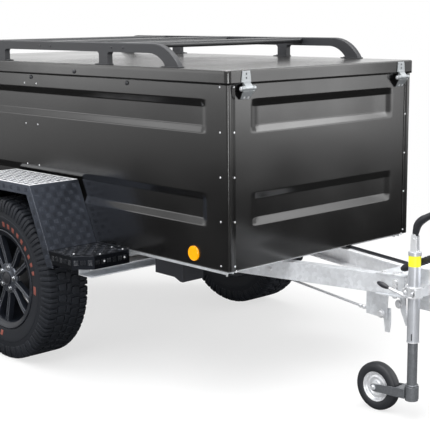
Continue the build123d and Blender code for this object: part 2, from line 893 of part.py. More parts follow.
# Overrun unit: mount plates and housing, drawtube, bellows and coupling head
housing_half = 66.0
plate_thick = 6.0
plate_outline = (
    (fore(1640), 118), (fore(1758), 91), (fore(1766), housing_half), (fore(1800), housing_half),
    (fore(1800), -housing_half), (fore(1766), -housing_half), (fore(1758), -91), (fore(1640), -118),
)
with BuildPart() as overrun_housing:
    with BuildSketch(across(housing_rear)):
        with BuildLine():
            Polyline(
                (-52, 434), (52, 434), (housing_half, 475), (housing_half, 545), (45, 600),
                (-45, 600), (-housing_half, 545), (-housing_half, 475), close=True,
            )
        make_face()
    extrude(amount=housing_front - housing_rear)
    with BuildSketch(across(housing_rear)):
        with BuildLine():
            Polyline(
                (-46, 440), (46, 440), (60, 477), (60, 543), (41, 594), (-41, 594), (-60, 543),
                (-60, 477), close=True,
            )
        make_face()
    extrude(amount=housing_front - housing_rear, mode=Mode.SUBTRACT)
    for z in (beam_low - plate_thick, beam_high):
        with BuildSketch(Plane.XY.offset(z)):
            with BuildLine():
                Polyline(*plate_outline, close=True)
            make_face()
            with Locations(((housing_rear + fore(1800)) / 2 + 6, 0)):
                Rectangle(fore(1800) - housing_rear + 12, 2 * housing_half - 12, mode=Mode.SUBTRACT)
        extrude(amount=plate_thick)
    for x in (housing_rear + 10, housing_front - 60):
        with BuildSketch(across(x)):
            with Locations((0, draw_z)):
                Circle(36)
                Circle(draw_radius, mode=Mode.SUBTRACT)
        extrude(amount=50)
save(overrun_housing, "overrun_housing")

with BuildPart() as drawtube:
    with BuildSketch(across(housing_rear + 10)):
        with Locations((0, draw_z)):
            Circle(draw_radius)
            Circle(draw_radius - 6, mode=Mode.SUBTRACT)
    extrude(amount=bellows_front + 40 - housing_rear - 10)
save(drawtube, "drawtube")

fold_pitch = (bellows_front - housing_front) / bellows_folds
with BuildPart() as bellows:
    with BuildSketch(Plane.XZ):
        with BuildLine():
            ridge = [
                (housing_front + fold_pitch * (k + step), draw_z + r)
                for k in range(bellows_folds)
                for step, r in ((0.0, 32), (0.5, 42))
            ]
            Polyline(
                (housing_front, draw_z + draw_radius), *ridge, (bellows_front, draw_z + 32),
                (bellows_front, draw_z + draw_radius), close=True,
            )
        make_face()
    revolve(axis=Axis((0, 0, draw_z), (1, 0, 0)))
save(bellows, "bellows")

cup_radius = 44.0
cup_top = draw_z + 37
with BuildPart() as coupling_head:
    with BuildSketch(across(bellows_front)):
        with Locations((0, draw_z + 2)):
            RectangleRounded(76, 68, 14)
    extrude(amount=ball_x - 22 - bellows_front)
    with BuildSketch(upright(0)):
        with BuildLine():
            Line((ball_x, draw_z - 22), (ball_x + cup_radius, draw_z - 22))
            Line((ball_x + cup_radius, draw_z - 22), (ball_x + cup_radius - 3, cup_top - 12))
            RadiusArc(
                (ball_x + cup_radius - 3, cup_top - 12), (ball_x + cup_radius - 15, cup_top), -12
            )
            Line((ball_x + cup_radius - 15, cup_top), (ball_x, cup_top))
            Line((ball_x, cup_top), (ball_x, draw_z - 22))
        make_face()
    revolve(axis=Axis((ball_x, 0, 0), (0, 0, 1)))
    with BuildSketch(Plane.XY.offset(draw_z - 22)):
        with BuildLine():
            nose_round = FilletPolyline(
                (ball_x, -cup_radius - 3), (ball_x + 30, -cup_radius + 4), (nose_x, -20), (nose_x, 20),
                (ball_x + 30, cup_radius - 4), (ball_x, cup_radius + 3), radius=10,
            )
            Line(nose_round @ 1, nose_round @ 0)
        make_face()
    extrude(amount=14)
    with Locations((ball_x, 0, draw_z)):
        Sphere(ball_radius, mode=Mode.SUBTRACT)
    with BuildSketch(Plane.XY.offset(draw_z - 40)):
        with Locations((ball_x, 0)):
            Circle(ball_radius)
    extrude(amount=40, mode=Mode.SUBTRACT)
    with BuildSketch(across(bellows_front - 1)):
        with Locations((0, draw_z)):
            Circle(draw_radius)
    extrude(amount=41, mode=Mode.SUBTRACT)
save(coupling_head, "coupling_head")

handle_x = ball_x - 70
handle_base = draw_z + 34
with BuildPart() as coupling_handle:
    with BuildLine(upright(0)) as handle_path:
        FilletPolyline(
            (handle_x, handle_base), (handle_x + 6, handle_base + 62), (handle_x - 110, handle_base + 78),
            radius=24,
        )
    with BuildSketch(Plane(origin=handle_path.line @ 0, x_dir=(0, 1, 0), z_dir=handle_path.line % 0)):
        RectangleRounded(36, 18, 7)
    sweep()
    with BuildSketch(Plane.XY.offset(handle_base - 10)):
        with Locations((handle_x, 0)):
            RectangleRounded(40, 44, 8)
    extrude(amount=24)
    with BuildSketch(across(bellows_front)):
        with Locations((0, draw_z + 2)):
            RectangleRounded(76, 68, 14)
    extrude(amount=ball_x - 22 - bellows_front, mode=Mode.SUBTRACT)
save(coupling_handle, "coupling_handle")

# Handbrake lever beside the housing
lever_y = -housing_half - 16
lever_pivot = (fore(1790), 530)
with BuildPart() as handbrake_lever:
    with BuildLine(upright(lever_y)) as lever_path:
        Line((fore(1745), 592), (fore(1990), 705))
    with BuildSketch(Plane(origin=lever_path.line @ 0, x_dir=(0, 1, 0), z_dir=lever_path.line % 0)):
        Circle(16)
    sweep()
    with BuildSketch(upright(lever_y + 16)):
        with BuildLine():
            Polyline(
                (fore(1772), 530), (fore(1808), 530), (fore(1830), 630), (fore(1790), 612), close=True
            )
        make_face()
        with Locations(lever_pivot):
            Circle(18)
    extrude(amount=8)
save(handbrake_lever, "handbrake_lever")

# Jockey wheel: clamp, outer tube, crank, inner tube, fork, tyre and rim
with BuildPart() as jockey_clamp:
    with BuildSketch(Plane.XY.offset(505)):
        with Locations((jockey_x, jockey_y)):
            Circle(jockey_tube_radius + 8)
            with Locations((0, 34.5)):
                Rectangle(56, 69)
            Circle(jockey_tube_radius, mode=Mode.SUBTRACT)
    extrude(amount=40)
    clamp_start = Vector(jockey_x - 10, jockey_y - 34, 518)
    clamp_end = Vector(fore(1700), jockey_y - 34, 541)
    with BuildSketch(Plane(origin=clamp_start, z_dir=clamp_end - clamp_start)):
        Circle(6)
    extrude(amount=(clamp_end - clamp_start).length)
    with BuildSketch(Plane(origin=clamp_end, z_dir=clamp_start - clamp_end)):
        Circle(12)
    extrude(amount=52)
save(jockey_clamp, "jockey_clamp")

with BuildPart() as jockey_outer_tube:
    with BuildSketch(Plane.XY.offset(jockey_tube_low)):
        with Locations((jockey_x, jockey_y)):
            Circle(jockey_tube_radius)
            Circle(jockey_inner_radius + running_gap, mode=Mode.SUBTRACT)
    extrude(amount=jockey_tube_high - jockey_tube_low)
    with BuildSketch(Plane.XY.offset(jockey_tube_high)):
        with Locations((jockey_x, jockey_y)):
            Circle(jockey_tube_radius + 2)
    extrude(amount=14)
save(jockey_outer_tube, "jockey_outer_tube")

crank_z = jockey_tube_high + 14
with BuildPart() as jockey_crank:
    with BuildSketch(Plane.XY.offset(crank_z)):
        with Locations((jockey_x, jockey_y)):
            Circle(12)
    extrude(amount=70)
    with BuildLine(upright(jockey_y)) as crank_path:
        FilletPolyline(
            (jockey_x, crank_z + 55), (jockey_x + 4, crank_z + 110), (jockey_x + 95, crank_z + 165),
            radius=45,
        )
    with BuildSketch(Plane(origin=crank_path.line @ 0, x_dir=(0, 1, 0), z_dir=crank_path.line % 0)):
        Circle(16)
    sweep()
save(jockey_crank, "jockey_crank")

with BuildPart() as jockey_inner_tube:
    with BuildSketch(Plane.XY.offset(jockey_inner_low)):
        with Locations((jockey_x, jockey_y)):
            Circle(jockey_inner_radius)
    extrude(amount=460 - jockey_inner_low)
    with BuildSketch(Plane.XY.offset(140)):
        with Locations((jockey_x, jockey_y)):
            Circle(jockey_tube_radius + 2)
    extrude(amount=6)
    with BuildSketch(Plane.XY.offset(jockey_inner_low - 6)):
        with Locations((jockey_x, jockey_y)):
            Circle(jockey_tube_radius + 2)
    extrude(amount=6)
save(jockey_inner_tube, "jockey_inner_tube")

fork_half = jockey_wheel_half + 5
with BuildPart() as jockey_fork:
    with BuildSketch(Plane.XY.offset(jockey_inner_low + 0.5)):
        with Locations((jockey_x, jockey_y)):
            Circle(jockey_tube_radius + 4)
            Circle(jockey_inner_radius + running_gap, mode=Mode.SUBTRACT)
    extrude(amount=52)
    for step in (-1, 1):
        with BuildSketch(upright(jockey_y + step * fork_half)):
            with BuildLine():
                Polyline(
                    (jockey_x - 12, jockey_inner_low + 4), (jockey_x - 12, jockey_inner_low + 44),
                    (jockey_x - 60, jockey_inner_low + 40),
                    (jockey_wheel_x, jockey_wheel_radius + 15),
                    (jockey_wheel_x, jockey_wheel_radius - 15),
                    (jockey_x - 60, jockey_inner_low + 2),
                    close=True,
                )
            make_face()
            with Locations((jockey_wheel_x, jockey_wheel_radius)):
                Circle(15)
        extrude(amount=-step * 4)
    with BuildSketch(upright(jockey_y + fork_half)):
        with Locations((jockey_wheel_x, jockey_wheel_radius)):
            Circle(jockey_axle_radius)
    extrude(amount=2 * fork_half)
    with BuildSketch(Plane.XY.offset(jockey_inner_low + 6)):
        with Locations((jockey_x - 42, jockey_y)):
            Rectangle(34, 2 * fork_half)
    extrude(amount=34)
save(jockey_fork, "jockey_fork")

jockey_rim_radius = 62.0
with BuildPart() as jockey_tyre:
    with BuildSketch(across(jockey_wheel_x)):
        with BuildLine():
            Polyline(
                *[
                    (jockey_y + y, jockey_wheel_radius + r)
                    for y, r in (
                        (-jockey_wheel_half, jockey_rim_radius), (-jockey_wheel_half, 84),
                        (-14, jockey_wheel_radius), (14, jockey_wheel_radius),
                        (jockey_wheel_half, 84), (jockey_wheel_half, jockey_rim_radius),
                    )
                ],
                close=True,
            )
        make_face()
    revolve(axis=Axis((jockey_wheel_x, 0, jockey_wheel_radius), (0, 1, 0)))
save(jockey_tyre, "jockey_tyre")

with BuildPart() as jockey_rim:
    with BuildSketch(across(jockey_wheel_x)):
        with BuildLine():
            Polyline(
                *[
                    (jockey_y + y, jockey_wheel_radius + r)
                    for y, r in (
                        (-20, jockey_rim_radius), (20, jockey_rim_radius), (20, 56), (6, 52), (6, 18),
                        (26, 18), (26, jockey_axle_radius + running_gap),
                        (-26, jockey_axle_radius + running_gap), (-26, 18), (-6, 18), (-6, 52),
                        (-20, 56),
                    )
                ],
                close=True,
            )
        make_face()
    revolve(axis=Axis((jockey_wheel_x, 0, jockey_wheel_radius), (0, 1, 0)))
save(jockey_rim, "jockey_rim")

# Brake rod from the overrun lever to the axle's bracket
with BuildPart() as brake_rod:
    with BuildSketch(Plane(origin=rod_rear, z_dir=rod_front - rod_rear)):
        Circle(rod_radius)
    extrude(amount=(rod_front - rod_rear).length)
save(brake_rod, "brake_rod")

# Brake bracket with its bolt, and the two levers that hang below the beams
lever_bolt = (fore(1642), 388)
with BuildPart() as brake_bracket:
    with BuildSketch(upright(-66)):
        with BuildLine():
            Polyline(
                (fore(1555), beam_low), (fore(1639), beam_low), (fore(1639), beam_low - 6),
                (fore(1668), beam_low - 6), (fore(1662), 366), (fore(1555), 372), close=True
            )
        make_face()
    extrude(amount=4)
    with BuildSketch(upright(-44)):
        with Locations(lever_bolt):
            Circle(9)
    extrude(amount=38)
    with BuildSketch(upright(-48)):
        with BuildLine():
            Polyline(
                (fore(1624), 404), (fore(1668), 408), (fore(1670), 350), (fore(1664), 306),
                (fore(1644), 306), (fore(1638), 352), close=True,
            )
        make_face()
    extrude(amount=8)
    with BuildSketch(upright(-30)):
        with BuildLine():
            Polyline(
                (fore(1700), beam_low - 6), (fore(1728), beam_low - 6), (fore(1732), 414),
                (fore(1752), 352), (fore(1736), 344), (fore(1708), 404), close=True,
            )
        make_face()
    extrude(amount=8)
save(brake_bracket, "brake_bracket")

# Wiring conduit along the left drawbar beam
conduit_radius = 7.0
conduit_rear = Vector(fore(1222), beam_y(fore(1222)) - 14, beam_high + conduit_radius)
conduit_front = Vector(fore(1630), beam_y(fore(1630)) - 14, beam_high + conduit_radius)
with BuildPart() as wiring_conduit:
    with BuildSketch(Plane(origin=conduit_rear, z_dir=conduit_front - conduit_rear)):
        Circle(conduit_radius)
    extrude(amount=(conduit_front - conduit_rear).length)
save(wiring_conduit, "wiring_conduit")

# Rear: light bar with lamps and a blank number plate
lamp_bar_x = box_rear - 25
lamp_bar_low = 495.0
lamp_bar_high = 565.0
lamp_bar_deep = 30.0
with BuildPart() as light_bar:
    with BuildSketch(upright(570)):
        with BuildLine():
            Polyline(
                (lamp_bar_x, lamp_bar_low), (lamp_bar_x + lamp_bar_deep, lamp_bar_low),
                (lamp_bar_x + lamp_bar_deep, lamp_bar_low + sheet), (lamp_bar_x + sheet, lamp_bar_low + sheet),
                (lamp_bar_x + sheet, lamp_bar_high - sheet),
                (lamp_bar_x + lamp_bar_deep, lamp_bar_high - sheet),
                (lamp_bar_x + lamp_bar_deep, lamp_bar_high), (lamp_bar_x, lamp_bar_high), close=True,
            )
        make_face()
    extrude(amount=1140)
    hanger_x = lamp_bar_x + lamp_bar_deep
    for y in (-400, 400):
        with BuildSketch(upright(y + 25)):
            with BuildLine():
                Polyline(
                    (hanger_x, lamp_bar_low), (hanger_x, wall_bottom), (hanger_x + 55, wall_bottom),
                    (hanger_x + 55, wall_bottom - 5), (hanger_x + 5, wall_bottom - 5),
                    (hanger_x + 5, lamp_bar_low), close=True,
                )
            make_face()
        extrude(amount=50)
save(light_bar, "light_bar")

with BuildPart() as tail_lights:
    for hand, side in sides:
        with BuildSketch(across(lamp_bar_x)):
            with Locations((side * 455, 530)):
                RectangleRounded(220, 64, 12)
        extrude(amount=-30)
save(tail_lights, "tail_lights")

with BuildPart() as number_plate:
    with BuildSketch(across(lamp_bar_x)):
        with Locations((0, 521)):
            RectangleRounded(520, 110, 8)
    extrude(amount=-4)
save(number_plate, "number_plate")

# Round amber reflectors on the sides
with BuildPart() as side_reflectors:
    for hand, side in sides:
        with BuildSketch(upright(side * half_width)):
            with Locations((fore(1058), 630)):
                Circle(31)
        extrude(amount=-side * 7)
save(side_reflectors, "side_reflectors")

# Wheel chocks hung below the floor
with BuildPart() as wheel_chocks:
    for hand, side in sides:
        with BuildSketch(upright(side * 440)):
            with BuildLine():
                Polyline(
                    (fore(775), beam_high), (fore(955), beam_high), (fore(955), 482), (fore(938), 482),
                    (fore(900), 497), (fore(775), 498), close=True,
                )
            make_face()
        extrude(amount=-side * 118)
save(wheel_chocks, "wheel_chocks")
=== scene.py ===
import math

import bpy
import numpy as np
from mathutils import Matrix, Vector


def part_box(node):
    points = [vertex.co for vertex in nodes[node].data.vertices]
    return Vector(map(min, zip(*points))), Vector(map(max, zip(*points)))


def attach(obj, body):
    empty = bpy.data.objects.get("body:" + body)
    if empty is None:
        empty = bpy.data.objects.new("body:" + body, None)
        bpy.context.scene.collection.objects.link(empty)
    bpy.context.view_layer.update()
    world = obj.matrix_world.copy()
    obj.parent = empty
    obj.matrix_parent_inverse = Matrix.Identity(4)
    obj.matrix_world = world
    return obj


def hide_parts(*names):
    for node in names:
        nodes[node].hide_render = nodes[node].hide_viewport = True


# Off-road box trailer. Metres, +X forward along the drawbar, the ground is z = 0.
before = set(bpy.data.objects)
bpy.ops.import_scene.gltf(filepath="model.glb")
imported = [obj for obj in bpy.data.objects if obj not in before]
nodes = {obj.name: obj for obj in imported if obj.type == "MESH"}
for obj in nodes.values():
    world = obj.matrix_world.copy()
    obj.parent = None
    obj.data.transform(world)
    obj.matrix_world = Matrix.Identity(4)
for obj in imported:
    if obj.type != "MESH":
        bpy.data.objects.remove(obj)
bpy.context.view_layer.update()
print("frame loaded:", len(nodes), "nodes")

axleX = -0.580
wheelZ = 0.384
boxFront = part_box("side_wall_right")[1].x
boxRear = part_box("side_wall_right")[0].x
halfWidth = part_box("side_wall_left")[1].y
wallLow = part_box("front_wall")[0].z
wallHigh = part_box("front_wall")[1].z
sides = (("right", -1), ("left", 1))
finish = {}

# The record's material slot for each finish; the yellow label has none
slotOf = {
    "boxPaint": "box_paint", "lidTopSheen": "box_paint", "rackPaint": "rack_paint", "rubber": "tyre",
    "markPaint": "tyre", "blackPlastic": "black_plastic", "softRubber": "black_plastic",
    "alloyDark": "alloy", "alloyFace": "alloy", "alloyBright": "alloy", "zinc": "zinc", "brightZinc": "zinc",
    "hingeZinc": "zinc", "treadBars": "checker_plate", "darkBars": "checker_plate", "redLens": "lamp_red",
    "amberLens": "amber",
}


def fore(distance):
    # place along X of a point that far ahead of the wheel centres
    return axleX + distance


# Mesh helpers

def gridQuads(rows, columns, closeRows=False, closeColumns=False):
    # quads between neighbouring points of a rows x columns grid, wrapping where it closes
    r = np.arange(rows if closeRows else rows - 1)
    c = np.arange(columns if closeColumns else columns - 1)
    a, b = np.meshgrid(r, c, indexing="ij")
    a2, b2 = (a + 1) % rows, (b + 1) % columns
    corners = np.stack([a * columns + b, a * columns + b2, a2 * columns + b2, a2 * columns + b], -1)
    return corners.reshape(-1, 4)


def joinShells(shells):
    # one list of points and faces from several, each face's numbers moved past the points before it
    points, faces, start = [], [], 0
    for shellPoints, shellFaces in shells:
        shellPoints = np.asarray(shellPoints, float).reshape(-1, 3)
        points.append(shellPoints)
        faces += [[int(i) + start for i in face] for face in shellFaces]
        start += len(shellPoints)
    return np.concatenate(points), faces


def addPiece(name, shell, paint, body="chassis", replaces=(), slot=None, bevel=0.0, sharp=35, thick=0.0):
    # a mesh object in place, shaded smooth up to the sharp angle, riding on its body
    points, faces = shell
    mesh = bpy.data.meshes.new(name)
    faceLists = faces.tolist() if isinstance(faces, np.ndarray) else faces
    mesh.from_pydata(np.asarray(points, float).reshape(-1, 3).tolist(), [], faceLists)
    mesh.validate()
    mesh.shade_smooth()
    piece = bpy.data.objects.new(name, mesh)
    bpy.context.scene.collection.objects.link(piece)
    paints = (paint,) if isinstance(paint, str) else paint
    for one in paints:
        mesh.materials.append(finish[one])
    if thick:
        wall = piece.modifiers.new("thickness", "SOLIDIFY")
        wall.thickness = thick
        wall.offset = -1
    else:
        mesh.set_sharp_from_angle(angle=math.radians(sharp))
    if bevel:
        edge = piece.modifiers.new("edges", "BEVEL")
        edge.width = bevel
        edge.segments = 2
        edge.limit_method = "ANGLE"
        edge.angle_limit = math.radians(sharp)
        edge.harden_normals = True
    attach(piece, body)
    slot = slot or slotOf.get(paints[0])
    if replaces:
        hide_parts(*replaces)
    return piece


def lathe(profile, centre, segments, axis="y", closeProfile=True, angles=None):
    # each profile point (place along the axis, radius) turned round it at even angles
    profile = np.asarray(profile, float)
    turn = np.linspace(0, 2 * math.pi, segments, endpoint=False) if angles is None else np.asarray(angles)
    along, radius = profile[:, 0][None, :], profile[:, 1][None, :]
    c, s = np.cos(turn)[:, None], np.sin(turn)[:, None]
    flat = np.ones_like(c)
    parts = {
        "y": (radius * s, along * flat, radius * c),
        "x": (along * flat, radius * c, radius * s),
        "z": (radius * c, radius * s, along * flat),
    }[axis]
    points = np.stack(parts, -1) + np.asarray(centre, float)
    return points.reshape(-1, 3), gridQuads(len(turn), len(profile), angles is None, closeProfile)


def turned(profile, centre, segments, axis="y"):
    # a closed profile turned all the way round, its faces outwards
    points, faces = lathe(profile, centre, segments, axis)
    return outward(points, faces.tolist())


def prism(outline, low, high, axis="z", taper=1.0):
    # a flat outline raised between two heights, with flat ends; the far end is scaled by taper
    outline = np.asarray(outline, float)
    middle = outline.mean(0)
    far = middle + (outline - middle) * taper
    count = len(outline)
    order = {"z": (0, 1, 2), "y": (0, 2, 1), "x": (2, 0, 1)}[axis]
    points = np.concatenate([
        np.column_stack([outline, np.full(count, low)]),
        np.column_stack([far, np.full(count, high)]),
    ])[:, order]
    ring = [[i, (i + 1) % count, count + (i + 1) % count, count + i] for i in range(count)]
    faces = ring + [list(range(count))[::-1], list(range(count, 2 * count))]
    return outward(points, faces)


def oblong(x, y, farX, farY):
    # the four corners of a rectangle, from one corner to the opposite one
    return [(x, y), (farX, y), (farX, farY), (x, farY)]


def roundedBox(x, y, halfX, halfY, radius, steps=5):
    # the outline of a rectangle with a quarter circle at each corner
    turn = np.linspace(0, math.pi / 2, steps)
    arcs = []
    for k, (sx, sy) in enumerate(((1, 1), (-1, 1), (-1, -1), (1, -1))):
        angles = turn + k * math.pi / 2
        centre = (x + sx * (halfX - radius), y + sy * (halfY - radius))
        arcs.append(np.column_stack([np.cos(angles), np.sin(angles)]) * radius + centre)
    return np.concatenate(arcs)


def outward(points, faces):
    # faces turned round together if their signed volume says that they point inwards
    points = np.asarray(points, float)
    volume = 0.0
    for face in faces:
        a = points[face[0]]
        for i in range(1, len(face) - 1):
            volume += np.dot(a, np.cross(points[face[i]], points[face[i + 1]]))
    return points, [list(face)[::-1] for face in faces] if volume < 0 else [list(face) for face in faces]


def tube(path, radius, segments=12, squash=1.0, caps=True):
    # rings square to a path of points, each with its own radius; squash flattens them along z
    path = np.asarray(path, float)
    radius = np.broadcast_to(np.asarray(radius, float), (len(path),))
    ahead = np.gradient(path, axis=0)
    ahead /= np.linalg.norm(ahead, axis=1)[:, None]
    lift = np.array([0, 0, 1.0]) if abs(ahead[:, 2]).mean() < 0.8 else np.array([1.0, 0, 0])
    across = np.cross(ahead, lift)
    across /= np.linalg.norm(across, axis=1)[:, None]
    up = np.cross(across, ahead)
    turn = np.linspace(0, 2 * math.pi, segments, endpoint=False)
    ring = across[:, None, :] * np.cos(turn)[None, :, None]
    ring = ring + up[:, None, :] * np.sin(turn)[None, :, None] * squash
    points = (path[:, None, :] + ring * radius[:, None, None]).reshape(-1, 3)
    faces = gridQuads(len(path), segments, False, True).tolist()
    if caps:
        faces += [list(range(segments))[::-1], list(range(len(points) - segments, len(points)))]
    return outward(points, faces)


def curve(corners, steps=10, bend=0.35):
    # points along straight runs whose corners are rounded by quadratic arcs
    corners = np.asarray(corners, float)
    points = [corners[0]]
    for before, corner, after in zip(corners[:-2], corners[1:-1], corners[2:]):
        start, end = corner + (before - corner) * bend, corner + (after - corner) * bend
        t = np.linspace(0, 1, steps)[:, None]
        points += list(start * (1 - t) ** 2 + 2 * corner * t * (1 - t) + end * t ** 2)
    points.append(corners[-1])
    return np.array(points)


def scatter(shell, places, axes):
    # copies of a small shell, each turned so that its x, y, z lie on the rows of its axes
    points, faces = shell
    points = np.asarray(points, float)
    places, axes = np.asarray(places, float), np.asarray(axes, float)
    moved = np.einsum("pk,nkj->npj", points, axes) + places[:, None, :]
    count = len(points)
    allFaces = [[i + n * count for i in face] for n in range(len(places)) for face in faces]
    return moved.reshape(-1, 3), allFaces


def facing(normals, up=(0, 0, 1)):
    # axes whose z is the given normal and whose y is as near to up as it can be
    normals = np.asarray(normals, float).reshape(-1, 3)
    normals = normals / np.linalg.norm(normals, axis=1)[:, None]
    up = np.broadcast_to(np.asarray(up, float), normals.shape).copy()
    flat = np.abs((normals * up).sum(1)) > 0.95
    up[flat] = (1.0, 0, 0)
    x = np.cross(up, normals)
    x /= np.linalg.norm(x, axis=1)[:, None]
    return np.stack([x, np.cross(normals, x), normals], 1)


def smoothStep(x, low, high):
    # 0 below low, 1 above high, and an even S between
    t = np.clip((np.asarray(x, float) - low) / (high - low), 0, 1)
    return t * t * (3 - 2 * t)


# Small fasteners, standing on z = 0 of their own axes. In the dictionaries below, a dome's size is its radius
# and height, and a hexagon's its width across the flats, its height and the radius of its washer

def domeShell(radius, height, rings=4, segments=12):
    # rings of a low dome: radius falls with the cosine as the height rises with the sine
    turn = np.linspace(0, math.pi / 2, rings + 1)[:-1]
    profile = [(height * math.sin(t), radius * math.cos(t)) for t in turn]
    points, faces = lathe(profile, (0, 0, 0), segments, "z", closeProfile=False)
    top = len(points)
    points = np.vstack([points, [0, 0, height]])
    last = [n * rings + rings - 1 for n in range(segments)]
    faces = faces.tolist() + [[last[i], last[(i + 1) % segments], top] for i in range(segments)]
    return outward(points, faces + [[n * rings for n in range(segments)][::-1]])


def hexShell(across, height, washer=0.0, washerThick=0.0015):
    # a six-sided head with a chamfered top, on a round washer where one is asked for
    turn = np.radians(np.arange(6) * 60 + 30)
    ring = np.column_stack([np.cos(turn), np.sin(turn)]) * across / math.sqrt(3)
    rings = [(1.0, washerThick), (1.0, height * 0.8), (0.86, height)]
    points = np.concatenate([np.column_stack([ring * s, np.full(6, z)]) for s, z in rings])
    faces = gridQuads(3, 6, False, True).tolist() + [list(range(12, 18)), list(range(6))[::-1]]
    shells = [outward(points, faces)]
    if washer:
        turn = np.linspace(0, 2 * math.pi, 18, endpoint=False)
        shells.append(prism(np.column_stack([np.cos(turn), np.sin(turn)]) * washer, 0, washerThick))
    return joinShells(shells)


def bothSides(places):
    # places on the left side after their mirror images on the right
    return [(x, side * y, z) for side in (-1, 1) for x, y, z in places]


def sideways(places, middle=0.0):
    # for every place the normal that points away from the middle plane
    return [(0, np.sign(place[1] - middle), 0) for place in places]


def addScatter(name, shell, places, normals, paint, body="chassis"):
    # a copy of one small shell at every place, standing along its normal
    normals = np.broadcast_to(np.asarray(normals, float), (len(places), 3))
    addPiece(name, scatter(shell, places, facing(normals)), paint, body, sharp=40)


def addPairs(name, shell, places, paint, body="chassis"):
    # copies on both sides, standing outwards
    places = bothSides(places)
    addScatter(name, shell, places, sideways(places), paint, body)


# Shader groups shared by the finishes

def feed(tree, value, socket):
    # a number or a colour is written on the socket itself, and an output is linked to it
    if isinstance(value, bpy.types.NodeSocket):
        tree.links.new(value, socket)
    elif socket.type == "RGBA":
        socket.default_value = (*value, 1)
    else:
        socket.default_value = value


def newGroup(name, inputs, outputs):
    # an empty group with those float inputs and named outputs, and the nodes that stand for both
    group = bpy.data.node_groups.new(name, "ShaderNodeTree")
    for label, value in inputs:
        group.interface.new_socket(label, in_out="INPUT", socket_type="NodeSocketFloat").default_value = value
    for label, kind in outputs:
        group.interface.new_socket(label, in_out="OUTPUT", socket_type=kind)
    return group, group.nodes.new("NodeGroupInput"), group.nodes.new("NodeGroupOutput")


def mathNode(tree, operation, first, second):
    # one sum of two numbers or outputs
    node = tree.nodes.new("ShaderNodeMath")
    node.operation = operation
    feed(tree, first, node.inputs[0])
    feed(tree, second, node.inputs[1])
    return node.outputs[0]


def objectPlace(tree):
    # a point's place on its own object, which stays with the object as it moves
    return tree.nodes.new("ShaderNodeTexCoord").outputs["Object"]


def noiseNode(tree, scale, detail=3.0, stretch=None):
    # soft random patches; a stretch draws them out along the axes with the lower numbers
    place = objectPlace(tree)
    if stretch:
        mapping = tree.nodes.new("ShaderNodeMapping")
        mapping.inputs["Scale"].default_value = stretch
        feed(tree, place, mapping.inputs["Vector"])
        place = mapping.outputs["Vector"]
    noise = tree.nodes.new("ShaderNodeTexNoise")
    for label, value in (("Vector", place), ("Scale", scale), ("Detail", detail)):
        feed(tree, value, noise.inputs[label])
    return noise.outputs["Fac"]


def mapRange(tree, value, low, high, toLow=0.0, toHigh=1.0):
    # the value moved from one range of numbers to another, and held at the ends
    node = tree.nodes.new("ShaderNodeMapRange")
    labels = ("Value", "From Min", "From Max", "To Min", "To Max")
    for label, number in zip(labels, (value, low, high, toLow, toHigh)):
        feed(tree, number, node.inputs[label])
    return node.outputs["Result"]


def normalHeight(tree):
    # how far a surface looks up: the z part of its normal
    split = tree.nodes.new("ShaderNodeSeparateXYZ")
    feed(tree, tree.nodes.new("ShaderNodeNewGeometry").outputs["Normal"], split.inputs["Vector"])
    return split.outputs["Z"]


def makeGrainGroup():
    # fine bumps of moulded or powder-coated skin, and a slow cloud for uneven gloss
    group, start, end = newGroup(
        "grain", (("Scale", 900.0), ("Cloud Scale", 6.0)),
        (("Height", "NodeSocketFloat"), ("Cloud", "NodeSocketFloat")),
    )
    feed(group, noiseNode(group, start.outputs["Scale"], 2.0), end.inputs["Height"])
    feed(group, noiseNode(group, start.outputs["Cloud Scale"], 4.0), end.inputs["Cloud"])
    return group


def makeEdgeGroup():
    # a rounded normal for every hard edge, and a mask of where that rounding bends it
    group, start, end = newGroup(
        "edgeWear", (("Radius", 0.002), ("Spread", 0.25)),
        (("Mask", "NodeSocketFloat"), ("Normal", "NodeSocketVector")),
    )
    soft = group.nodes.new("ShaderNodeBevel")
    soft.samples = 4
    feed(group, start.outputs["Radius"], soft.inputs["Radius"])
    plain = group.nodes.new("ShaderNodeNewGeometry").outputs["Normal"]
    dot = group.nodes.new("ShaderNodeVectorMath")
    dot.operation = "DOT_PRODUCT"
    feed(group, soft.outputs["Normal"], dot.inputs[0])
    feed(group, plain, dot.inputs[1])
    bend = mathNode(group, "SUBTRACT", 1.0, dot.outputs["Value"])
    rough = noiseNode(group, 60.0, 3.0)
    worn = mathNode(group, "MULTIPLY", bend, mapRange(group, rough, 0.3, 0.7, 0.5, 1.6))
    feed(group, mapRange(group, worn, 0.0, start.outputs["Spread"], 0.0, 1.0), end.inputs["Mask"])
    feed(group, soft.outputs["Normal"], end.inputs["Normal"])
    return group


def makeSpangleGroup():
    # crystal patches of a zinc coat, each with its own tone
    group, start, end = newGroup(
        "spangle", (("Scale", 90.0), ("Contrast", 0.2)),
        (("Tone", "NodeSocketFloat"), ("Cloud", "NodeSocketFloat")),
    )
    cells = group.nodes.new("ShaderNodeTexVoronoi")
    feed(group, objectPlace(group), cells.inputs["Vector"])
    feed(group, start.outputs["Scale"], cells.inputs["Scale"])
    split = group.nodes.new("ShaderNodeSeparateColor")
    feed(group, cells.outputs["Color"], split.inputs["Color"])
    tone = mathNode(group, "SUBTRACT", split.outputs["Red"], 0.5)
    tone = mathNode(group, "MULTIPLY", tone, start.outputs["Contrast"])
    feed(group, mathNode(group, "ADD", tone, 1.0), end.inputs["Tone"])
    feed(group, noiseNode(group, 7.0, 5.0), end.inputs["Cloud"])
    return group


grainGroup = makeGrainGroup()
edgeGroup = makeEdgeGroup()
spangleGroup = makeSpangleGroup()


def placeGroup(tree, group, **values):
    # a group put to use in a material with values for its inputs
    node = tree.nodes.new("ShaderNodeGroup")
    node.node_tree = group
    for label, value in values.items():
        node.inputs[label.replace("_", " ")].default_value = value
    return node


